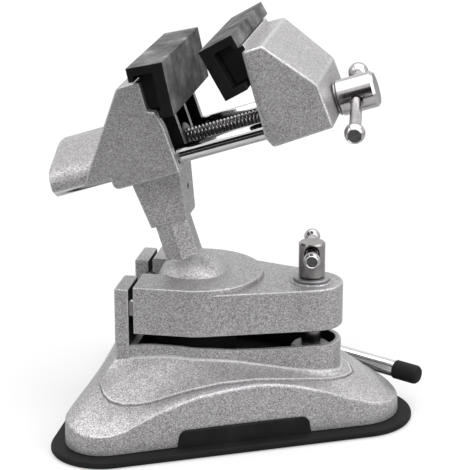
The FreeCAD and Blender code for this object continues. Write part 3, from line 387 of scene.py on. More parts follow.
# ---- Base casting ---------------------------------------------------------------------
# The body of the base, die-cast in aluminium and sprayed in sparkling silver paint: a skirt
# with a waved shoulder, a stepped platform, a rim that follows the clamp arm, two hinge
# ears, the cup of the ball and the boss of the clamp bolt. It lies on the rubber pad.

def paint_finish():
    """Silver paint with fine metallic flakes and a little orange peel; marked edges get a painted highlight and
    marked faces painted shade.
    """
    finish = Finish("sparkle_silver_paint", {"Coat Roughness": 0.3})
    bare_and_painted_shade = finish.mark("bare_and_painted_shade")
    painted_highlight = finish.mark("painted_highlight")
    flakes = finish.node("TexVoronoi", {}, {"Vector": finish.place, "Scale": 3000.0}, "Color")
    flake = finish.node("SeparateColor", {}, {"Color": flakes})
    cloud = finish.noise(0.02, 3.0)
    fine = finish.noise(0.0004, 2.0, 0.8)
    speckle = flake * 0.55 + fine * 0.45
    paint = finish.ramp(
        speckle * 0.88 + cloud * 0.12, (0.24, (0.14, 0.134, 0.139)), (0.42, (0.3, 0.291, 0.298)),
        (0.6, (0.39, 0.38, 0.388)), (0.78, (0.64, 0.628, 0.637)),
    )
    # the lighter paint of a painted highlight, for marked edges that catch the light
    bright = finish.ramp(fine, (0.3, 0.5), (0.7, 0.85))
    # the near-black of painted shade, for marked faces in hollows, gaps and under parts
    shade_tone = finish.ramp(speckle * 0.4 + cloud * 0.6, (0.3, 0.006), (0.7, 0.02))
    finish.feed({
        "Base Color": finish.mix(bare_and_painted_shade, finish.mix(painted_highlight * 0.75, paint, bright), shade_tone),
        "Metallic": 0.45 + flake * 0.25,
        "Roughness": 0.34 + fine * 0.16 + bare_and_painted_shade * 0.3,
        "Coat Weight": 0.06 + cloud * 0.06,
    })
    finish.bump(speckle, 0.00006, 0.55)
    return finish.material


PAINT = paint_finish()
EDGE = 0.7

BALL_X, BALL_Z, BALL_ROUND = -16.9, 51.85, 15.5
CUP_TOP, SEAT_FLOOR, SEAT_ROUND, GUIDE_TOP = 43.0, 33.0, 12.4, 24.5
BOLT_X = 30.6
EAR_BACK, EAR_FRONT, EAR_HALF, EAR_TOP = -44.05, -38.29, 27.4, 58.1
SLOT_HALF = 9.6
PIN_X, PIN_HIGH, PIN_ROUND = -37.42, 50.0, 3.5
DISC_ROUND, NOSE_ROUND = 27.7, 12.6
CUP_ROUND, BOSS_ROUND, GUIDE_ROUND = 16.5, 8.0, 7.5
BOLT_ROUND, STUD_ROUND, SHAFT_ROUND, SHAFT_HOLE = 4.0, 6.5, 3.0, 4.1
LOOSE_GAP, SLIDE_GAP = 0.35, 0.05
MIDDLE = Vector((-12.0, 0.0))
RIM_WALL, PIT_FLOOR = 2.8, 24.0


def along(table, x):
    """A smooth reading between the (x, value) pairs of a table."""
    if x <= table[0][0]:
        return table[0][1]
    for (x0, v0), (x1, v1) in zip(table, table[1:]):
        if x <= x1:
            share = (x - x0) / (x1 - x0)
            return v0 + (v1 - v0) * share
    return table[-1][1]


def crossing(outline, away):
    """The side of a closed outline that the ray from the middle crosses, its distance and share."""
    for index, end in enumerate(outline):
        start = outline[index - 1]
        side = end - start
        spread = away.x * side.y - away.y * side.x
        if abs(spread) < 1e-9:
            continue
        to_start = start - MIDDLE
        distance = (to_start.x * side.y - to_start.y * side.x) / spread
        share = (to_start.x * away.y - to_start.y * away.x) / spread
        if distance > 0 and -1e-6 <= share <= 1 + 1e-6:
            return index, distance, share
    raise ValueError("the outline does not surround the middle")


def reach(outline, away):
    """How far the ray from the middle in a direction runs inside a closed outline."""
    return crossing(outline, away)[1]


def round_ball(circles, step, kept):
    """The points of a belt that pass a test, in their order round the ball."""
    points = [point for point in belt(circles, step=step) if kept(point)]
    return sorted(points, key=lambda point: atan2(point.y, point.x - BALL_X))


def arm_outline(inset, back):
    """The plan that the rim and the clamp arm share, from the hinge to the rounded nose."""
    half = EAR_HALF - inset
    front = round_ball(
        [(BALL_X, 0, DISC_ROUND - inset), (BOLT_X, 0, NOSE_ROUND - inset)], 1.2,
        lambda point: point.x > BALL_X and abs(point.y) < half)
    outline = [Vector((back, -half)), Vector((BALL_X, -half))] + front
    return outline + [Vector((BALL_X, half)), Vector((back, half))]


# heights of the shoulder, the foot of the rim and the top of the rim, along X
SHOULDER = [
    (-58.8, 14.2), (-55.8, 13.1), (-50.5, 11.4), (-44.3, 10.9), (-38.1, 11.2), (-32.8, 12.4), (-28.0, 14.8),
    (-18.4, 19.1), (-7.7, 22.7), (3.0, 24.2), (14.8, 25.1), (23.0, 24.4), (31.2, 22.6), (39.6, 19.9),
    (50.9, 15.2), (59.4, 12.2), (64.2, 10.7), (66.4, 10.4),
]
RIM_FOOT = [
    (-44.0, 28.4), (-38.0, 28.9), (-30.0, 30.0), (-21.0, 30.7), (-6.0, 29.6), (3.4, 28.4), (15.0, 26.0),
    (26.0, 23.7), (35.0, 22.5), (40.5, 21.5), (43.2, 20.4),
]
RIM_TOP = [(-44.0, 34.2), (-30.0, 35.4), (-18.0, 35.2), (-6.0, 34.3), (3.0, 33.4), (15.0, 33.0), (44.0, 33.2)]
# the stepped edge of the platform on the near side: X, Y, Z and how far it stands out
TERRACE = [
    (-51.0, -2.0, 21.8, 0.0), (-51.0, -22.0, 21.8, 0.0), (-49.6, -32.5, 21.6, 0.0), (-47.4, -38.2, 21.0, 0.4),
    (-44.9, -43.7, 20.0, 0.8), (-41.5, -47.0, 18.9, 1.0), (-36.3, -48.5, 18.4, 1.0), (-30.6, -48.0, 18.6, 1.0),
    (-26.0, -47.2, 19.4, 1.0), (-19.6, -45.6, 21.3, 1.0), (-12.5, -42.9, 23.2, 1.0), (0.7, -37.0, 25.1, 1.0),
    (14.1, -31.2, 25.3, 1.0), (27.3, -23.0, 23.0, 1.0), (40.5, -12.7, 20.1, 1.0), (45.6, -7.1, 19.3, 0.9),
    (47.5, -1.2, 18.7, 0.6),
]
# bands of the skin that catch the light, and how strong a painted highlight they get
HIGHLIGHT_ROWS = {6: 0.35, 17: 0.9, 22: 0.5, 23: 0.9, 26: 0.5}


def terrace_at(away):
    """Distance, height and step of the platform's edge along a ray."""
    edge = [Vector((x, y)) for x, y, _z, _step in TERRACE]
    edge += [Vector((point.x, -point.y)) for point in edge[::-1]]
    mirrored = TERRACE + TERRACE[::-1]
    index, distance, share = crossing(edge, away)
    (_x0, _y0, z0, step0), (_x1, _y1, z1, step1) = mirrored[index - 1], mirrored[index]
    return distance, z0 + (z1 - z0) * share, step0 + (step1 - step0) * share


def base_rows():
    """Rows of the base's skin, from its lower edge over the platform and the rim to the pit."""
    foot_line = base_outline(PAD_LIP, waist=0.8)
    rim_line = arm_outline(0.5, EAR_BACK + 0.5)
    pit_line = arm_outline(RIM_WALL, EAR_FRONT + RIM_WALL)
    turns = sorted({round(atan2(y - MIDDLE.y, x - MIDDLE.x), 4) for x, y in foot_line + rim_line})
    rows = []
    for turn in turns:
        away = Vector((cos(turn), sin(turn)))
        foot, rim, pit = reach(foot_line, away), reach(rim_line, away), reach(pit_line, away)
        shoulder = along(SHOULDER, (MIDDLE + away * foot).x)
        rim_point = MIDDLE + away * rim
        rim_low, rim_high = along(RIM_FOOT, rim_point.x), along(RIM_TOP, rim_point.x)
        edge, edge_high, step = terrace_at(away)
        edge = max(min(edge, foot - 3.0), rim + 2.0)
        stations = [
            (foot - 0.7, PAD_THICK), (foot - 0.15, PAD_THICK + 0.25), (foot, PAD_THICK + 0.8),
            (foot - 0.15, PAD_THICK + 0.55 * (shoulder - PAD_THICK)), (foot - 0.35, shoulder - 1.5),
            (foot - 0.5, shoulder - 0.8), (foot - 0.85, shoulder - 0.3), (foot - 1.4, shoulder),
        ]
        outer, inner = foot - 1.4, edge + 0.5
        low = edge_high - 0.55 * step
        for share in (0.2, 0.4, 0.6, 0.8):
            crown = 0.5 * sin(pi * share)
            stations.append((outer + (inner - outer) * share, shoulder + (low - shoulder) * share + crown))
        stations += [
            (inner, low), (edge + 0.25, low - 0.5 * step), (edge + 0.05, low - 0.5 * step),
            (edge, low + 0.1 * step), (edge - 0.05, low + 0.75 * step), (edge - 0.25, low + 0.98 * step),
            (edge - 0.7, low + 1.1 * step),
        ]
        outer, inner, start = edge - 0.7, rim + 0.9, low + 1.1 * step
        for share in (0.25, 0.5, 0.75):
            sag = -0.25 * sin(pi * share)
            stations.append((outer + (inner - outer) * share, start + (rim_low - start) * share + sag))
        stations += [
            (rim + 0.9, rim_low), (rim + 0.3, rim_low + 0.25), (rim, rim_low + 0.9), (rim, rim_high - 0.8),
            (rim - 0.25, rim_high - 0.2), (rim - 0.8, rim_high), (pit + 0.5, rim_high), (pit + 0.1, rim_high - 0.2),
            (pit, rim_high - 0.7), (pit, PIT_FLOOR + 1.0), (pit - 0.3, PIT_FLOOR + 0.3), (pit - 1.0, PIT_FLOOR),
        ]
        rows.append([(MIDDLE + away * distance).to_3d() + Vector((0, 0, height)) for distance, height in stations])
    return [list(row) for row in zip(*rows)]


def box(x, y, z, soften=0.0):
    """A block between pairs of limits, with its edges rounded."""
    outline = [(x[0], y[0]), (x[1], y[0]), (x[1], y[1]), (x[0], y[1])]
    return prism(outline, *z, soften)


def turned_rows(profile, sides, x=0.0, y=0.0):
    """Rows of points round an axis along Z, one for each (radius, height)."""
    turns = [2 * pi * number / sides for number in range(sides)]
    return [[Vector((x + r * cos(a), y + r * sin(a), z)) for a in turns] for r, z in profile]


def spun(profile, sides=64, x=0.0, y=0.0):
    """A closed skin over a profile of (radius, height), spun about an axis along Z."""
    return solid(*loft(turned_rows(profile, sides, x, y)))


def rod(radius, low, high, x=0.0, y=0.0, chamfer=0.0, sides=64, turn=Matrix()):
    """A round bar along Z, chamfered at both ends, then turned into place."""
    profile = [(radius, low), (radius, high)]
    if chamfer:
        end = radius - chamfer
        profile = [(end, low), (radius, low + chamfer), (radius, high - chamfer), (end, high)]
    shape = spun(profile, sides, x, y)
    shape.transform(turn)
    return shape


def globe(radius):
    """A ball about the centre of the vise's ball, with small caps at its poles."""
    sides, rings = 96, 48
    angles = [pi * number / rings for number in range(1, rings)]
    rows = turned_rows([(radius * sin(angle), -radius * cos(angle)) for angle in angles], sides)
    return solid(*loft([[Vector((BALL_X, 0, BALL_Z)) + point for point in row] for row in rows]))


ALONG_Y = about("X", -90)
ON_PINS = at(PIN_X, 0, PIN_HIGH) @ ALONG_Y
SHAFT_HIGH, BUSH_ROUND, BUSH_LONG = 15.2, 5.0, 10.0


def on_shaft(turned):
    """A round piece drawn along Z, laid on the cam shaft's axis in the far side."""
    turned.transform(on_side(True) @ at(0, 0, SHAFT_HIGH) @ ALONG_Y)
    return turned


rows = base_rows()
base = solid(*loft(rows))
base.faces.ensure_lookup_table()
# these bands of the base get a painted highlight, except behind the hinge ears
for row, share in HIGHLIGHT_ROWS.items():
    band = base.faces[2 + row * len(rows[0]):2 + (row + 1) * len(rows[0])]
    highlight_faces(base, [face for face in band if face.calc_center_median().x > EAR_BACK - 2], share)
for side in (-1, 1):
    width = sorted((side * SLOT_HALF, side * EAR_HALF))
    carve(base, "UNION", box((EAR_BACK, EAR_FRONT), width, (PIT_FLOOR + 2, EAR_TOP), EDGE))
carve(base, "DIFFERENCE", prism(arm_outline(3.0, EAR_FRONT + 3.0), 2.0, PIT_FLOOR - 4))
carve(
    base, "UNION",
    rod(CUP_ROUND, PIT_FLOOR - 5, CUP_TOP, BALL_X, chamfer=0.8, sides=96),
    rod(BOSS_ROUND, 7.5, 30.0, BOLT_X, chamfer=0.8),
    rod(GUIDE_ROUND, 18.5, 22.0, PULL_X, chamfer=0.8),
    on_shaft(rod(BOSS_ROUND, SIDE_REACH - BUSH_LONG - 3, SIDE_REACH - 1)),
)
carve(
    base, "DIFFERENCE",
    globe(BALL_ROUND + LOOSE_GAP),
    rod(SEAT_ROUND, SEAT_FLOOR, BALL_Z, BALL_X),
    rod(BOLT_ROUND + SLIDE_GAP, 2.0, EAR_TOP, BOLT_X),
    rod(STUD_ROUND + SLIDE_GAP, 2.0, GUIDE_TOP, PULL_X),
    rod(PIN_ROUND, 1 - EAR_HALF, EAR_HALF - 1, turn=ON_PINS),
    on_shaft(rod(SHAFT_HOLE, -8.0, SIDE_REACH + 2)),
    on_shaft(rod(BUSH_ROUND, SIDE_REACH - BUSH_LONG, SIDE_REACH + 4)),
)
INSIDE = arm_outline(RIM_WALL / 2, EAR_FRONT + 0.5)
for tab in TABS:
    carve(base, "DIFFERENCE", lifting_tab(*tab))


def in_shade(centre, normal):
    """Faces that get painted shade: the underside, the pit with its floor and walls, and the fronts of the ears."""
    away = centre.xy - MIDDLE
    in_pit = reach(INSIDE, away.normalized()) > away.length and (centre.z < 30.0 or normal.z < 0.5)
    beside_boss = hypot(centre.x - BOLT_X, centre.y) > BOSS_ROUND + 0.5
    ear_front = normal.x > 0.9 and abs(centre.x - EAR_FRONT) < 0.1
    return centre.z < 35.0 and beside_boss and (normal.z < -0.5 or in_pit) or ear_front


piece("painted_base", base, PAINT, "base", "casting", "base_casting", marked=in_shade)


# ---- Friction ring, fulcrum pins and shaft bush ---------------------------------------
# Small parts that are pressed into the base: a ring of slippery plastic that the ball sits
# in, two steel pins that the clamp arm rocks on, and the bush of the cam shaft.

def plastic_finish():
    finish = Finish("slippery_white_plastic", {"Roughness": 0.45})
    cloud = finish.noise(0.004, 3.0)
    finish.feed({"Base Color": finish.ramp(cloud, (0.3, 0.55), (0.7, 0.66))})
    finish.bump(cloud, 0.00005, 0.4)
    return finish.material


def steel_finish(name, dark, light, rough, depth):
    """Uncoated turned steel with faint tool marks; marked faces are darker and duller, for painted shade in a
    thread's roots and a painted dark reflection on knob ends.
    """
    finish = Finish(name, {"Metallic": 1.0})
    marks = finish.noise(0.0006, 3.0, 0.65)
    stain = finish.noise(0.006, 3.0)
    bare_and_painted_shade = finish.mark("bare_and_painted_shade")
    steel = finish.ramp(marks * 0.25 + stain * 0.75, (0.3, dark), (0.7, light))
    # near-black steel for painted shade and painted dark reflections on marked faces
    steel_shade_tone = finish.ramp(marks, (0.35, 0.09), (0.65, 0.2))
    finish.feed({
        "Base Color": finish.mix(bare_and_painted_shade, steel, steel_shade_tone),
        "Roughness": rough + marks * 0.08 + stain * 0.06 + bare_and_painted_shade * 0.3,
    })
    finish.bump(marks, depth, 0.3)
    return finish.material


PLASTIC = plastic_finish()
PLAIN_STEEL = steel_finish("turned_steel", (0.2, 0.19, 0.19), (0.36, 0.34, 0.34), 0.16, 0.000004)
GROUND_STEEL = steel_finish("ground_steel", (0.4, 0.385, 0.39), (0.58, 0.56, 0.57), 0.12, 0.000003)
DARK_STEEL = steel_finish("oiled_steel", (0.1, 0.1, 0.11), (0.22, 0.22, 0.23), 0.34, 0.00002)

RING_BORE = 6.5
ring = rod(SEAT_ROUND, SEAT_FLOOR, CUP_TOP - 1, BALL_X, chamfer=0.4, sides=96)
carve(ring, "DIFFERENCE", rod(RING_BORE, SEAT_FLOOR - 1, CUP_TOP, BALL_X), globe(BALL_ROUND + SLIDE_GAP))
piece("cup_ring", ring, PLASTIC, "base", "bearing_plastic", "ball_friction_ring")


def gather(parts):
    """One bmesh of several, each a lump of its own."""
    shape = bmesh.new()
    for part in parts:
        lump = bpy.data.meshes.new("lump")
        part.to_mesh(lump)
        shape.from_mesh(lump)
        bpy.data.meshes.remove(lump)
    return shape


pins = []
for side in (-1, 1):
    low, high = sorted((side * (SLOT_HALF + 1), side * (EAR_HALF - 1.05)))
    pins.append(rod(PIN_ROUND, low, high, chamfer=0.5, turn=ON_PINS))
piece("hinge_pins", gather(pins), PLAIN_STEEL, "base", "plain_steel", "fulcrum_pins")

bush = rod(BUSH_ROUND, SIDE_REACH - BUSH_LONG, SIDE_REACH + 1, chamfer=0.3)
carve(bush, "DIFFERENCE", rod(SHAFT_ROUND + SLIDE_GAP, 0.0, SIDE_REACH + 2))
piece("shaft_liner", on_shaft(bush), PLASTIC, "base", "bearing_plastic", "cam_shaft_bush")


# ---- Pull plate, stud and suction lever -----------------------------------------------
# The steel plate is bonded to the middle of the pad. Its stud has an eye for the eccentric
# journal of the cam shaft. A hub on the shaft's outer end carries the chromed lever, which
# ends in a dipped rubber cap; swung over, it draws the middle of the pad up.

def chrome_finish():
    finish = Finish("bright_chrome", {"Metallic": 1.0})
    haze = finish.noise(0.009, 3.0)
    streak = finish.noise(0.0012, 2.0, 0.6)
    finish.feed({
        "Base Color": finish.ramp(haze, (0.3, 0.6), (0.7, 0.72)),
        "Roughness": 0.07 + haze * 0.05 + streak * 0.03,
    })
    return finish.material


CHROME = chrome_finish()
CAM_OFF, HUB_IN, HUB_THICK, HUB_ROUND = 1.25, SIDE_REACH + 1.35, 7.4, 5.0
LEVER_REACH, LEVER_DIP, LEVER_ROUND = 72.0, radians(1.5), 3.4
PLATE_LOW, PLATE_ROUND, PLATE_BORE = 3.35, 24.0, 3.25

plate = rod(PLATE_ROUND, PLATE_LOW, PLATE_LOW + 2, PULL_X, chamfer=0.3, sides=96)
carve(plate, "DIFFERENCE", rod(PLATE_BORE, 0.0, 10.0, PULL_X))
piece("bonded_plate", plate, DARK_STEEL, "pull", "dark_steel", "pull_plate")
stud = rod(STUD_ROUND, PLATE_LOW + 2, 21.65, PULL_X, chamfer=0.4)
carve(stud, "UNION", rod(PLATE_BORE, PLATE_LOW, PLATE_LOW + 3, PULL_X))
eye = box((-4.1, 4.1), (-7.5, 7.5), (10.85, 17.05), 0.8)
eye.transform(on_side(True))
carve(stud, "DIFFERENCE", eye)
piece("eyed_stud", stud, PLAIN_STEEL, "pull", "plain_steel", "pull_stud")

shaft = rod(SHAFT_ROUND, 7.0, HUB_IN + HUB_THICK, chamfer=0.3)
journal = rod(2.5, -7.2, 7.2, chamfer=0.1)
journal.transform(at(0, CAM_OFF, 0))
carve(shaft, "UNION", journal, rod(SHAFT_ROUND, -10.0, -7.0, chamfer=0.3))
piece("eccentric_shaft", on_shaft(shaft), PLAIN_STEEL, "lever", "plain_steel", "cam_shaft")

hub = rod(HUB_ROUND, HUB_IN, HUB_IN + HUB_THICK, chamfer=0.8)
carve(hub, "DIFFERENCE", rod(SHAFT_ROUND, 0.0, HUB_IN + HUB_THICK + 1))
piece("shaft_hub", on_shaft(hub), PLAIN_STEEL, "lever", "plain_steel", "lever_hub")

ALONG_LEVER = (
    on_side(True)
    @ at(0, HUB_IN + HUB_THICK / 2, SHAFT_HIGH)
    @ Matrix.Rotation(radians(90) + LEVER_DIP, 4, "Y")
)
lever = rod(LEVER_ROUND, HUB_ROUND - 0.2, LEVER_REACH - 2, chamfer=0.3, turn=ALONG_LEVER)
piece("chromed_lever", lever, CHROME, "lever", "bright_steel", "suction_lever")

CAP_BACK = LEVER_REACH - 11.0
cap = spun([
    (3.42, CAP_BACK + 0.02), (3.8, CAP_BACK), (3.9, CAP_BACK + 0.15), (3.9, LEVER_REACH - 1.9),
    (3.7, LEVER_REACH - 1.0), (3.2, LEVER_REACH - 0.35), (2.3, LEVER_REACH), (0.3, LEVER_REACH),
])
carve(cap, "DIFFERENCE", rod(LEVER_ROUND, CAP_BACK - 1, LEVER_REACH - 2))
piece("dipped_cap", cap, pad_finish(), "lever", "rubber", "lever_cap", place=ALONG_LEVER)


# ---- Clamp arm ------------------------------------------------------------------------
# A second painted casting that lies over the ball and rocks on the fulcrum pins. It is high
# and round about the ball, steps down to a flat deck towards the nose, and is hollow below
# between the ball and the bolt. Its hinge end is slotted for the stem.

ARM_END, ARM_UNDER, ARM_LOW, ARM_HIGH = -36.55, 39.5, 56.9, 59.06
STEP_X = BALL_X + 4.0

deck = prism(arm_outline(0.0, ARM_END), ARM_UNDER, ARM_LOW, EDGE)
disc_edge = round_ball(
    [(BALL_X, 0, DISC_ROUND), (BALL_X + 0.1, 0, DISC_ROUND)], 0.9, lambda point: point.x > STEP_X + 0.2)
high_outline = [Vector((ARM_END, -EAR_HALF)), Vector((STEP_X, -EAR_HALF))] + disc_edge
high_outline += [Vector((STEP_X, EAR_HALF)), Vector((ARM_END, EAR_HALF))]
arm = prism(high_outline, ARM_UNDER, ARM_HIGH, EDGE)
carve(arm, "UNION", deck, rod(8.9, ARM_LOW - 1, 57.5, BOLT_X, chamfer=0.35))
hollow_plan = belt([(12.6, 0, 9.6), (21.7, 0, 6.6)], step=1.2)
carve(
    arm, "DIFFERENCE",
    box((ARM_END - 3, BALL_X), (-SLOT_HALF, SLOT_HALF), (ARM_UNDER - 1, ARM_HIGH + 1)),
    rod(17.2, ARM_UNDER - 1, CUP_TOP + 1, BALL_X, sides=96),
    rod(BALL_ROUND + LOOSE_GAP, ARM_UNDER, BALL_Z + 1, BALL_X, sides=96),
    globe(BALL_ROUND + SLIDE_GAP),
    rod(BOLT_ROUND + LOOSE_GAP, ARM_UNDER - 1, 58.5, BOLT_X),
    rod(PIN_ROUND + SLIDE_GAP, 1 - EAR_HALF, EAR_HALF - 1, turn=ON_PINS),
    prism(hollow_plan, ARM_UNDER - 1, ARM_LOW - 4),
)
# the arm's underside is marked for painted shade
piece(
    "painted_arm", arm, PAINT, "clamp_arm", "casting", "clamp_arm",
    marked=lambda centre, normal: centre.z < ARM_UNDER + 0.3,
)


# ---- Clamp bolt, washer and clamp bar -------------------------------------------------
# A turned steel bolt that draws the arm down on the ball. A loose bar with a pressed-on
# knob at each end slides through its cross-drilled head; a washer lies under the head.

WASHER_BORE, WASHER_LOW = BOLT_ROUND + SLIDE_GAP, 57.6
HEAD_SEAT, HEAD_TOP, HEAD_ROUND = 58.7, 73.1, 5.3
BAR_HIGH, BAR_ROUND, BAR_KNOB, BAR_SPAN, BAR_SHIFT, BAR_TURN = 69.2, 2.0, 3.3, 31.6, 3.2, 97.3


def disc(inner, outer, low):
    """A disc 1 mm thick with a worn rim, still without its bore."""
    return spun([
        (inner, low), (outer - 0.2, low), (outer, low + 0.2), (outer, low + 0.8), (outer - 0.2, low + 1.0),
        (inner, low + 1.0),
    ])


washer = disc(WASHER_BORE, 7.4, WASHER_LOW)
washer.transform(at(BOLT_X, 0, 0))
carve(washer, "DIFFERENCE", rod(WASHER_BORE, WASHER_LOW - 1, WASHER_LOW + 2, BOLT_X))
ZINC = steel_finish("dull_zinc", (0.3, 0.3, 0.31), (0.42, 0.42, 0.43), 0.42, 0.00001)
piece("head_washer", washer, ZINC, "clamp_washer", "plain_steel", "clamp_washer")

ON_BAR = at(BOLT_X, 0, BAR_HIGH) @ about("Z", BAR_TURN - 90) @ ALONG_Y
bolt = rod(HEAD_ROUND, HEAD_SEAT, HEAD_TOP, BOLT_X, chamfer=0.6)
carve(bolt, "UNION", rod(BOLT_ROUND, 14.0, HEAD_SEAT + 1, BOLT_X, chamfer=0.5))
HALF_TURNS = [Matrix.Rotation(turn, 4, "X") for turn in (pi, 0)]
cuts = [rod(BAR_ROUND + 0.3, -HEAD_ROUND - 1, HEAD_ROUND + 1, turn=ON_BAR)]
for half_turn in HALF_TURNS:
    mouth = spun([
        (BAR_ROUND, HEAD_ROUND - 2.2), (BAR_ROUND + 1.6, HEAD_ROUND - 0.4), (BAR_ROUND + 1.6, HEAD_ROUND + 1),
    ])
    mouth.transform(ON_BAR @ half_turn)
    cuts.append(mouth)
carve(bolt, "DIFFERENCE", *cuts)
piece("drawing_bolt", bolt, PLAIN_STEEL, "clamp_bolt", "plain_steel", "clamp_bolt")


def cross_bar(name, body, nodes, sizes, frame_of_bar, place=Matrix()):
    """The bar that slides through a cross-drilled head, and the two knobs on its ends."""
    bar_round, radius, span, shift = sizes
    half = (span - radius) / 2
    bar = rod(bar_round, -half, half, chamfer=0.2, turn=frame_of_bar @ at(0, 0, shift))
    piece(name, bar, GROUND_STEEL, body, "plain_steel", nodes[0], place=place)
    # a knob is a ball with a chamfered flat turned on its outer end
    turns = [radians(150 - 5.6 * number) for number in range(19)]
    profile = [(radius * sin(turn), radius * cos(turn)) for turn in turns]
    flat, crown = profile[-1]
    profile = [(bar_round, profile[0][1])] + profile + [
        (flat - 0.05 * radius, crown + 0.03 * radius), (flat - 0.11 * radius, crown - 0.02 * radius),
        (flat - 0.13 * radius, crown - 0.1 * radius), (0.2, crown - 0.1 * radius),
    ]
    knobs = []
    for side, half_turn in zip((-1, 1), HALF_TURNS):
        knob = carve(spun(profile), "DIFFERENCE", rod(bar_round, -radius - 1, -radius / 2))
        knob.transform(at(0, 0, shift + side * span / 2) @ half_turn)
        knobs.append(knob)
    both = gather(knobs)
    both.transform(frame_of_bar)
    along_bar = (frame_of_bar.to_3x3() @ Vector((0, 0, 1))).normalized()
    # the flat ends of the knobs are marked for a painted dark reflection
    piece(
        name + "_knobs", both, GROUND_STEEL, body, "plain_steel", nodes[1], place=place,
        marked=lambda centre, normal: abs(normal @ along_bar) > 0.999,
    )


cross_bar(
    "sliding_bar", "clamp_bar", ("clamp_bar", "clamp_bar_knobs"),
    (BAR_ROUND, BAR_KNOB, BAR_SPAN, BAR_SHIFT), ON_BAR)


# ---- Ball stem ------------------------------------------------------------------------
# Ball and hexagon shank are one casting, painted as the arm is. The shank's flats run down
# into the ball along soft curved lines. A long screw goes up through both of them and holds
# the shank in the neck of the fixed jaw, with a grub screw across it.

HEAD_LEAN = radians(-17.86)
SHANK_X, BALL_UP, SHANK_ROUND, SHANK_TOP = 1.73, 5.38, 7.8, 52.0
FILLET, STEM_BORE, GRUB_ROUND, GRUB_HIGH = 0.6, 2.55, 1.5, 46.0
SIXTH = radians(60)
ON_BALL = at(BALL_X, 0, BALL_Z) @ Matrix.Rotation(HEAD_LEAN, 4, "Y")
ON_HEAD = ON_BALL @ at(-SHANK_X, 0, -BALL_UP)


def stem_rows(sides=144):
    """Rows up the stem: at each height the wider of ball and hexagon, with a small fillet."""
    top = SHANK_TOP - BALL_UP
    heights = [-BALL_ROUND * cos(pi * number / 60) for number in range(2, 54)]
    heights += [heights[-1] + 0.35 * number for number in range(1, 14)] + [top - 0.5, top]
    rows = []
    for height in heights:
        ball = sqrt(max(BALL_ROUND ** 2 - height ** 2, 0.01))
        row = []
        for number in range(sides):
            angle = 2 * pi * number / sides
            off_flat = (angle + SIXTH / 2) % SIXTH - SIXTH / 2
            hexagon = min(SHANK_ROUND * cos(SIXTH / 2) / cos(off_flat), SHANK_ROUND - 0.2)
            share = max(0.0, min(1.0, 0.5 + (ball - hexagon) / (2 * FILLET)))
            out = hexagon + (ball - hexagon) * share + FILLET * share * (1 - share)
            out = ball if height < 0 else out
            out -= 0.5 if height == top else 0.0
            row.append(Vector((out * cos(angle), out * sin(angle), height)))
        rows.append(row)
    return rows


stem = solid(*loft(stem_rows()))
# the ball gets a faint painted highlight
highlight_faces(stem, [face for face in stem.faces if face.calc_center_median().length < BALL_ROUND + 0.4], 0.15)
carve(stem, "DIFFERENCE", rod(STEM_BORE, -BALL_ROUND, SHANK_TOP), rod(4.55, -BALL_ROUND - 1, -10.5))
piece("painted_stem", stem, PAINT, "head", "casting", "ball_stem", place=ON_BALL)

core = rod(2.5, -11.0, 49.0 - BALL_UP, chamfer=0.4)
carve(core, "UNION", rod(4.2, -13.5, -10.55, chamfer=0.4))
piece("long_stem_screw", core, DARK_STEEL, "ball_link", "dark_steel", "stem_screw", place=ON_BALL)


# ---- Fixed jaw ------------------------------------------------------------------------
# The head casting: a leaning jaw plate with two ribs behind its open front, a roof-shaped
# hood behind it that covers the ends of the rods, a bar for the rubber pad, and the neck
# that takes the shank. It is one painted casting, with painted shade in its front rooms and about the pad's bar.

JAW_HALF, JAW_LOW, JAW_TOP = 30.9, 58.2, 96.0
AXIS_HIGH, RODS_HALF, ROD_ROUND, ROD_FRONT = 63.8, 23.4, 3.5, 66.0
PAD_LOW = 80.6
HOOD_WALL, HOOD_BACK, JAW_BACK, HOOD_HALF = 2.4, -32.0, -7.7, 31.0
FIXED_LEAN, FIXED_X, MOVABLE_LEAN, MOVABLE_X = 5.5, 25.4, -12.0, 45.8


def wedge(marks, soften):
    """A tapering block between rectangles (x0, x1, half width, height)."""
    return solid(*loft([
        level([(x0, -half), (x1, -half), (x1, half), (x0, half)], height) for x0, x1, half, height in marks
    ]), soften)


def arch(inset, back, front, foot, soften=0.0):
    """The roof-shaped section of the hood between two places along X."""
    half, eave, crest, shoulder = 30.2 - inset, 70.5 - inset, 78.8 - inset, 8.0 - inset
    outline = corners((-half, foot), (half, foot), (half, eave, shoulder), (0, crest, 28.0), (-half, eave, shoulder))
    turn = Matrix(((0, 0, 1, 0), (1, 0, 0, 0), (0, 1, 0, 0), (0, 0, 0, 1)))
    return prism(outline, back, front, soften, turn)


def rib_rooms(profile, half, soften=0.6):
    """The three hollows that two ribs leave in the open front of a jaw."""
    rib_in, rib_out = 7.5, 10.5
    spans = ((-half, -rib_out), (-rib_in, rib_in), (rib_out, half))
    return [prism(profile, low, high, soften, UPRIGHT) for low, high in spans]


def at_pad(x, lean):
    """The foot of a pad's gripping face, with Z up the face."""
    return at(x, 0, PAD_LOW) @ about("Y", lean)


def pad_bar(sign, deep, tall, x, lean):
    """The bar that a rubber pad clips over."""
    bar = box(sorted((sign * 4.75, sign * deep)), (-27.0, 27.0), (2.65, tall), 0.4)
    bar.transform(at_pad(x, lean))
    return bar


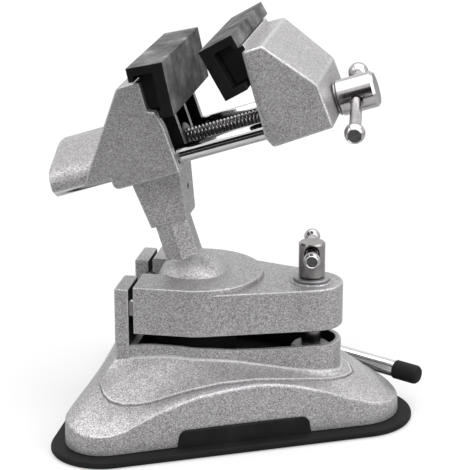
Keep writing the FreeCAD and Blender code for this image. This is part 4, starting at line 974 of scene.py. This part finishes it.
jaw = prism(corners(
    (19.2, JAW_LOW), (18.8, 76.6), (17.4, 83.2), (14.7, 84.2), (15.1, JAW_TOP, 1.5), (6.0, JAW_TOP, 2.2),
    (-19.0, 62.8), (JAW_BACK, 62.8), (JAW_BACK, JAW_LOW, 2.4),
), -JAW_HALF, JAW_HALF, EDGE, UPRIGHT)
carve(jaw, "UNION", wedge([(-5.6, 9.9, 8.4, 34.7), (-6.8, 14.8, 12.0, JAW_LOW + 1.5)], EDGE))
room = [(23.3, 60.7), (23.3, 90.5), (7.06, 90.5), (-8.15, 70.3), (10.0, 70.3), (11.5, 60.7)]
carve(jaw, "DIFFERENCE", *rib_rooms(room, 26.9))
hood_space = arch(HOOD_WALL, HOOD_BACK - 1, JAW_BACK, 62.0)
space_limit = [
    (HOOD_BACK - 1, 61.9), (JAW_BACK, 61.9), (JAW_BACK, 66.8), (-19.0, 78.8), (HOOD_BACK - 1, 78.8),
]
carve(hood_space, "INTERSECT", prism(space_limit, -HOOD_HALF, HOOD_HALF, 0.0, UPRIGHT))
hood = arch(0.0, HOOD_BACK, JAW_BACK + 0.7, 63.4, EDGE)
carve(hood, "DIFFERENCE", arch(HOOD_WALL, HOOD_BACK - 1, JAW_BACK, 60.0))
hood_limit = [
    (HOOD_BACK - 0.5, 60.0), (-8.0, 60.0), (-8.0, 76.0), (-10.0, 82.0), (HOOD_BACK - 0.5, 82.0),
]
carve(hood, "INTERSECT", prism(hood_limit, -HOOD_HALF, HOOD_HALF, 0.0, UPRIGHT))
carve(jaw, "DIFFERENCE", hood_space)
carve(jaw, "UNION", hood, pad_bar(-1, 12.25, 17.35, FIXED_X, FIXED_LEAN))
ALONG_X = at(0, 0, AXIS_HIGH) @ about("Y", 90)
ON_GRUB = at(0, 0, GRUB_HIGH) @ about("Y", 90)


def hexagon(radius, first, x=0.0):
    """The corners of a hexagon whose first one stands at an angle in degrees."""
    turns = [radians(first + 60 * number) for number in range(6)]
    return [(x + radius * cos(turn), radius * sin(turn)) for turn in turns]


def rod_bores(radius, low, high):
    """The bores of the two guide rods."""
    return [rod(radius, low, high, turn=at(0, side * RODS_HALF, 0) @ ALONG_X) for side in (-1, 1)]


carve(
    jaw, "DIFFERENCE",
    rod(7.2, 4.0, 23.3, turn=ALONG_X), rod(4.85, -19.0, 4.5, turn=ALONG_X),
    *rod_bores(ROD_ROUND + SLIDE_GAP, -19.0, 23.3),
    prism(hexagon(SHANK_ROUND + 0.1, 30, SHANK_X), 33.0, SHANK_TOP + 0.1),
    rod(STEM_BORE, 33.0, SHANK_TOP, SHANK_X),
    rod(GRUB_ROUND, SHANK_X, 14.5, turn=ON_GRUB, sides=32),
)
# faces in the front rooms and about the pad's bar are marked for painted shade; the top and the front face are not
piece(
    "painted_fixed_jaw", jaw, PAINT, "head", "casting", "fixed_jaw", place=ON_HEAD,
    marked=lambda centre, normal: abs(centre.y) < 27.5 and centre.x > -8.8 and 60.5 < centre.z < 98.5 and not (
        normal.x < -0.3 and centre.x < 12 or centre.z > 95.5 and normal.z > 0.995
        or normal.x > 0.9 and 16.5 < centre.x < 19.5),
)

grub = rod(GRUB_ROUND, 8.1, 12.0, chamfer=0.25, sides=32)
carve(grub, "DIFFERENCE", prism(hexagon(0.8, 0), 10.5, 13.0))
piece("neck_grub_screw", grub, DARK_STEEL, "head", "dark_steel", "stem_grub_screw", place=ON_HEAD @ ON_GRUB)

NUT_BORE = 4.55
nut = spun([
    (NUT_BORE, 4.0), (6.9, 4.0), (7.2, 4.3), (7.2, 18.4), (6.7, 18.95), (5.2, 18.95), (NUT_BORE, 18.4),
])
carve(nut, "DIFFERENCE", rod(NUT_BORE, 3.0, 20.0))
piece("tapped_bush", nut, DARK_STEEL, "head", "dark_steel", "thread_bush", place=ON_HEAD @ ALONG_X)


# ---- Movable jaw ----------------------------------------------------------------------
# A wedge-shaped casting in the same paint that rides on the two rods: its top, shoulder and
# sides are flat facets that meet in crisp edges with a painted highlight. Its front is open between two ribs,
# and its rooms and pad bar get painted shade.

MOVE_BACK, MOVE_NOSE, MOVE_TAPER = 80.0, 58.2, 24.9
ROLL_X, ROLL_ROUND = 59.5, 1.2
side_view = prism(corners(
    (54.9, 62.2), (56.9, JAW_LOW), (MOVE_BACK, JAW_LOW), (79.0, 75.7), (64.0, JAW_TOP), (56.2, JAW_TOP),
), -JAW_HALF, JAW_HALF, 0.0, UPRIGHT)
plan_view = prism([
    (53.9, -JAW_HALF), (MOVE_NOSE, -JAW_HALF), (MOVE_BACK, -MOVE_TAPER), (MOVE_BACK, MOVE_TAPER),
    (MOVE_NOSE, JAW_HALF), (53.9, JAW_HALF),
], 57.0, 97.0)
carve(side_view, "INTERSECT", plan_view)
bmesh.ops.dissolve_limit(side_view, angle_limit=radians(1), verts=side_view.verts, edges=side_view.edges)
move = rounded(side_view, 0.9)
move_room = [(50.0, 70.3), (74.0, 70.3), (74.0, 74.2), (61.5, 90.5), (50.0, 90.5)]
carve(move, "DIFFERENCE", *rib_rooms(move_room, 21.9))
carve(
    move, "UNION",
    pad_bar(1, 12.25, 17.35, MOVABLE_X, MOVABLE_LEAN), pad_bar(1, 14.75, 14.85, MOVABLE_X, MOVABLE_LEAN),
)
tools = [rod(4.05, 53.0, 81.0, turn=ALONG_X), rod(6.95, 53.0, MOVE_NOSE, turn=ALONG_X)]
for side, bore in zip((-1, 1), rod_bores(ROD_ROUND, 53.0, ROD_FRONT)):
    tools += [bore, rod(ROLL_ROUND, JAW_LOW - 1, AXIS_HIGH, ROLL_X, side * RODS_HALF, sides=24)]
carve(move, "DIFFERENCE", *tools)
# faces in the front rooms and on the pad's bar, its ends included, are marked for painted shade
piece(
    "painted_movable_jaw", move, PAINT, "movable_jaw", "casting", "movable_jaw", place=ON_HEAD,
    marked=lambda centre, normal: abs(centre.y) < 27.3 and normal.x > -0.99 and (
        centre.x < 54.0 or 69.5 < centre.z < 95.6) and (
        centre.x < 58.5 or centre.x < 74.5 and abs(centre.y) < 22 and normal.x < 0.3 and centre.z < 95),
)


# ---- Rubber jaw pads ------------------------------------------------------------------
# Two lengths of moulded rubber channel that clip over the bars of the jaws. Their gripping
# faces and tops are dusted grey and scuffed; the cut ends stay black.

def jaw_rubber_finish():
    finish = Finish("dusty_jaw_rubber", {"Specular IOR Level": 0.08})
    dust = finish.mark("dust")
    cloud = finish.noise(0.012, 5.0, 0.6)
    scuff = finish.noise(0.0022, 4.0, 0.7, finish.stretch(1.0, 0.35, 1.0))
    grain = finish.noise(0.0006, 2.0)
    film = cloud * 0.6 + scuff * 0.25 + grain * 0.15
    bloom = finish.ramp(film, (0.36, 0.04), (0.46, 0.1), (0.55, 0.15), (0.66, 0.27))
    # the plain black rubber, where no dust lies
    bare_and_painted_shade = finish.ramp(cloud, (0.3, 0.004), (0.7, 0.009))
    finish.feed({"Base Color": finish.mix(dust, bare_and_painted_shade, bloom), "Roughness": 0.5 + dust * 0.22 + grain * 0.1})
    finish.bump(scuff * 0.6 + grain * 0.4, 0.00012, 0.6)
    return finish.material


JAW_RUBBER = jaw_rubber_finish()
PAD_HALF, WEB, HOOK_IN, HOOK_OUT, HOOK_LOW, ROOF = 35.0, 4.7, 12.3, 14.4, 15.2, 20.8


def dusty(centre, normal):
    """Dust settles on the gripping face, on the roof and on the back of the hook."""
    outside = abs(centre.x) < 0.5 or abs(centre.x) > HOOK_OUT - 0.4 or centre.z > ROOF - 0.6
    return outside * max(0.0, min(1.0, 1.4 * max(abs(normal.x), normal.z) - 0.3))


def jaw_pad(name, node, body, sign, floor, x, lean):
    """One channel: a face, a roof with a hook behind the bar, and a short floor."""
    marks = [
        (0.0, 0.0), (floor, 0.0), (floor, 2.6), (WEB, 2.6), (WEB, 17.4), (HOOK_IN, 17.4), (HOOK_IN, HOOK_LOW),
        (HOOK_OUT, HOOK_LOW), (HOOK_OUT, ROOF), (0.0, ROOF),
    ]
    channel = prism([(sign * out, height) for out, height in marks], -PAD_HALF, PAD_HALF, 0.3, UPRIGHT)
    turn = ON_HEAD @ at_pad(x, lean)
    piece(name, channel, JAW_RUBBER, body, "jaw_rubber", node, place=turn, marked=dusty, mark="dust")


jaw_pad("dusty_fixed_pad", "fixed_jaw_pad", "head", -1, 5.8, FIXED_X, FIXED_LEAN)
jaw_pad("dusty_movable_pad", "movable_jaw_pad", "movable_jaw", 1, 9.6, MOVABLE_X, MOVABLE_LEAN)


# ---- Guide rods and roll pins ---------------------------------------------------------
# Two ground and chromed steel bars. A split pin of rolled spring steel, driven in from below,
# holds each of them in the movable jaw; they slide in plain bores of the fixed jaw.

for side, sign in (("near", -1), ("far", 1)):
    bar = rod(ROD_ROUND, -32.8, ROD_FRONT, chamfer=0.5)
    turn = ON_HEAD @ at(0, sign * RODS_HALF, 0) @ ALONG_X
    piece(f"chromed_rod_{side}", bar, CHROME, "movable_jaw", "bright_steel", f"guide_rod_{side}", place=turn)

roll_pins = []
for across in (-RODS_HALF, RODS_HALF):
    roll_pins.append(carve(
        rod(ROLL_ROUND, JAW_LOW - 0.9, AXIS_HIGH, ROLL_X, across, chamfer=0.2, sides=32), "DIFFERENCE",
        rod(0.65, JAW_LOW - 2, JAW_LOW + 2, ROLL_X, across, sides=24),
        box((ROLL_X, ROLL_X + 2.5), (across - 0.2, across + 0.2), (JAW_LOW - 2, JAW_LOW + 2)),
    ))
piece("split_roll_pins", gather(roll_pins), DARK_STEEL, "movable_jaw", "dark_steel", "rod_roll_pins", place=ON_HEAD)


# ---- Lead screw -----------------------------------------------------------------------
# A turned and threaded steel screw. Its plain journal runs through the movable jaw, where a
# washer takes the push and a clip the pull; its head is cross-drilled for the turning bar.

def thread_nodes():
    """A tree that winds a thread round a bar: its radius falls and rises once per pitch."""
    tree = bpy.data.node_groups.new("wound_thread", "GeometryNodeTree")
    for name, kind in (
        ("Outer Radius", "Float"), ("Depth", "Float"), ("Pitch", "Float"), ("Length", "Float"),
        ("Sides", "Int"), ("Steps", "Int"), ("Finish", "Material"),
    ):
        tree.interface.new_socket(name, in_out="INPUT", socket_type="NodeSocket" + kind)
    tree.interface.new_socket("Geometry", in_out="OUTPUT", socket_type="NodeSocketGeometry")
    grow = Nodes(tree)

    def given(name):
        return grow.node("NodeGroupInput", {}, {}, name)

    length, pitch = given("Length"), given("Pitch")
    bar = grow.node("GeometryNodeMeshCylinder", {}, {
        "Vertices": given("Sides"), "Side Segments": given("Steps"), "Radius": 1.0, "Depth": length,
    })
    place = grow.node("GeometryNodeInputPosition", {}, {})
    calc = place.calc
    x, y, z = [grow.node("SeparateXYZ", {}, {0: place}, axis) for axis in "XYZ"]
    wave = calc("FRACT", z / pitch - calc("ARCTAN2", y, x) / (2 * pi))
    flank = calc("ABSOLUTE", wave - 0.5) * 2.0
    crest = calc("MINIMUM", calc("MAXIMUM", (flank - 0.12) * 1.35, 0.0), 1.0)
    lead_in = calc("MINIMUM", (length / 2.0 - calc("ABSOLUTE", z)) / pitch, 1.0)
    radius = given("Outer Radius") - (1.0 - crest * lead_in) * given("Depth")
    wound = grow.node("CombineXYZ", {}, {"X": x * radius, "Y": y * radius, "Z": z})
    skin = grow.node("GeometryNodeSetPosition", {}, {"Geometry": bar, "Position": wound})
    real = grow.node("GeometryNodeRealizeInstances", {}, {0: skin})
    dressed = grow.node("GeometryNodeSetMaterial", {}, {"Geometry": real, "Material": given("Finish")})
    tree.links.new(dressed.socket, tree.nodes.new("NodeGroupOutput").inputs[0])
    return tree


def grown(tree, **values):
    """The plain mesh, as a bmesh, that a tree of geometry nodes gives for these inputs."""
    host = linked("host", bpy.data.meshes.new("host"))
    modifier = host.modifiers.new("growth", "NODES")
    modifier.node_group = tree
    for item in tree.interface.items_tree:
        key = item.name.replace(" ", "_").lower()
        if key in values:
            modifier[item.identifier] = values[key]
    mesh = bpy.data.meshes.new_from_object(host.evaluated_get(bpy.context.evaluated_depsgraph_get()))
    bpy.data.objects.remove(host)
    shape = bmesh.new()
    shape.from_mesh(mesh)
    return shape


SCREW_BACK, THREAD_FRONT, SPIN_END, SPIN_ROUND = -31.5, 51.0, 95.9, 7.1
THREAD_ROUND, THREAD_FOOT = 4.5, 3.95
JOURNAL, CLIP_ROUND, CLIP_X, COLLAR_X = 4.0, 3.4, 57.1, 80.0
BAR_X, TURN_ROUND, TURN_KNOB, TURN_SPAN, TURN_SHIFT, TURN_DIP = 88.0, 2.3, 4.0, 50.0, -7.0, 15.3
ON_TURN_BAR = at(BAR_X, 0, AXIS_HIGH) @ about("X", TURN_DIP) @ ALONG_Y
screw = grown(
    thread_nodes(), outer_radius=THREAD_ROUND, depth=0.85, pitch=1.5, length=THREAD_FRONT - SCREW_BACK,
    sides=40, steps=495, finish=GROUND_STEEL,
)
screw.transform(ALONG_X @ at(0, 0, (THREAD_FRONT + SCREW_BACK) / 2))
plain = spun([
    (CLIP_ROUND, THREAD_FRONT - 1), (JOURNAL, THREAD_FRONT), (JOURNAL, CLIP_X), (CLIP_ROUND, CLIP_X),
    (CLIP_ROUND, CLIP_X + 1), (JOURNAL, CLIP_X + 1), (JOURNAL, COLLAR_X + 1.1), (6.7, COLLAR_X + 1.1),
    (SPIN_ROUND, COLLAR_X + 1.5), (SPIN_ROUND, SPIN_END - 1.0), (SPIN_ROUND - 1.0, SPIN_END), (0.4, SPIN_END),
])
plain.transform(ALONG_X)
carve(plain, "DIFFERENCE", rod(TURN_ROUND + 0.35, -8.5, 8.5, turn=ON_TURN_BAR))
screw = gather([screw, plain])
# the tree left the thread on a slot of its own; the finished piece has one finish
for face in screw.faces:
    face.material_index = 0
# the roots of the thread are marked for painted shade
piece(
    "threaded_spindle", screw, GROUND_STEEL, "lead_screw", "plain_steel", "lead_screw", place=ON_HEAD,
    marked=lambda centre, normal: (
        centre.x < THREAD_FRONT and hypot(centre.y, centre.z - AXIS_HIGH) < THREAD_FOOT),
)

collar = disc(WASHER_BORE, 6.6, COLLAR_X)
carve(collar, "DIFFERENCE", rod(WASHER_BORE, COLLAR_X - 1, COLLAR_X + 2))
piece("spindle_washer", collar, PLAIN_STEEL, "lead_screw", "plain_steel", "screw_washer", place=ON_HEAD @ ALONG_X)
clip = disc(CLIP_ROUND, 6.6, CLIP_X)
carve(clip, "DIFFERENCE", rod(CLIP_ROUND, 56.0, 59.0), box((0.0, 8.0), (-1.6, 1.6), (56.0, 59.0)))
piece(
    "spindle_clip", clip, DARK_STEEL, "lead_screw", "dark_steel", "screw_retaining_clip", place=ON_HEAD @ ALONG_X)


# ---- Turning bar ----------------------------------------------------------------------
# The loose steel bar of the lead screw, with a knob pressed on each end, hanging on its
# near knob's side.

cross_bar(
    "spindle_bar", "turning_bar", ("turning_bar", "turning_bar_knobs"),
    (TURN_ROUND, TURN_KNOB, TURN_SPAN, TURN_SHIFT), ON_TURN_BAR, ON_HEAD)


# ---- Table, light and camera ----------------------------------------------------------
# The vise stands on a plain pale table in soft studio light. Two dark cards that only the
# shiny metallic parts see stand and lie outside the view, so that they have something to mirror.

def ray(nodes, kind):
    """1 for the rays of a kind and 0 for all others."""
    return nodes.node("LightPath", {}, {}, kind)


def table_finish():
    """White to the eye, more so further off, and pale in metallic reflections, yet it takes the shadow."""
    finish = Finish("pale_table", {"Roughness": 0.9, "Specular IOR Level": 0.1, "Emission Strength": 1.0})
    near_glow, glow_per_metre, glow_in_metal = 0.41, 0.27, 0.12
    far_off = finish.node("VectorMath", {"operation": "LENGTH"}, {0: finish.place}, "Value")
    to_eye = ray(finish, "Is Camera Ray") * (far_off * glow_per_metre + near_glow)
    shown = to_eye + ray(finish, "Is Glossy Ray") * glow_in_metal
    finish.feed({"Base Color": tone(0.4), "Emission Color": finish.mix(shown, tone(0.0), tone(1.0))})
    return finish.material


def card_finish():
    finish = Finish("black_card", {"Roughness": 0.9, "Specular IOR Level": 0.1})
    finish.feed({"Base Color": tone(0.01)})
    return finish.material


def sheet(name, half_x, half_y, place, finish):
    mesh = bpy.data.meshes.new(name)
    rim = [place @ Vector((x * half_x, y * half_y, 0)) for x, y in ((-1, -1), (1, -1), (1, 1), (-1, 1))]
    mesh.from_pydata(rim, [], [(0, 1, 2, 3)])
    mesh.materials.append(finish)
    thing = linked(name, mesh)
    return thing


sheet("table", 4.0, 4.0, at(0, 0, -0.0002), table_finish())
black = card_finish()
for name, half_x, half_y, place in (
    ("front_card", 1.1, 0.39, at(0.1, -1.35, 0.47) @ UPRIGHT), ("low_card", 0.9, 0.55, at(0.1, -0.75, 0.001)),
):
    card = sheet(name, half_x, half_y, place, black)
    card.visible_camera = card.visible_diffuse = card.visible_shadow = False

scene = bpy.context.scene
scene.view_settings.view_transform = "Standard"
world = bpy.data.worlds.new("studio")
scene.world = world
world.use_nodes = True
sky = Nodes(world.node_tree)
seen = ray(sky, "Is Camera Ray")
for kind in ("Is Glossy Ray", "Is Transmission Ray"):
    seen = seen.calc("MAXIMUM", seen, ray(sky, kind))
soft = sky.node("Background", {}, {"Color": tone(1.0), "Strength": 0.46})
white = sky.node("Background", {}, {"Color": tone(1.0)})
shown = sky.node("MixShader", {}, {0: seen, 1: soft, 2: white})
sky.tree.links.new(shown.socket, sky.tree.nodes["World Output"].inputs["Surface"])


def aimed(thing, place, target):
    """A lamp or a camera, put at a place and turned towards another."""
    thing.location = place
    thing.rotation_euler = (Vector(target) - Vector(place)).to_track_quat("-Z", "Y").to_euler()
    return thing


def lamp(name, place, size, power):
    """A soft square lamp at a place, pointed at the middle of the vise."""
    light = bpy.data.lights.new(name, "AREA")
    light.size, light.energy = size, power
    return aimed(linked(name, light), place, (0.0, 0.0, 0.07))


lamp("top_box", (0.1, 0.0, 0.9), 1.3, 11.0)
lamp("right_box", (0.75, -0.35, 0.5), 0.8, 3.5)
lamp("left_box", (-0.75, -0.2, 0.65), 0.4, 1.2)
lamp("front_box", (-0.15, -0.95, 0.5), 0.5, 5.2).visible_glossy = False

eye = bpy.data.cameras.new("eye")
eye.lens, eye.sensor_width = 136.83, 36.0
eye.shift_x, eye.shift_y = -0.00396, -0.00438
scene.camera = aimed(linked("eye", eye), (0.1163, -0.6711, 0.2887), (0.00244, -0.01263, 0.07905))
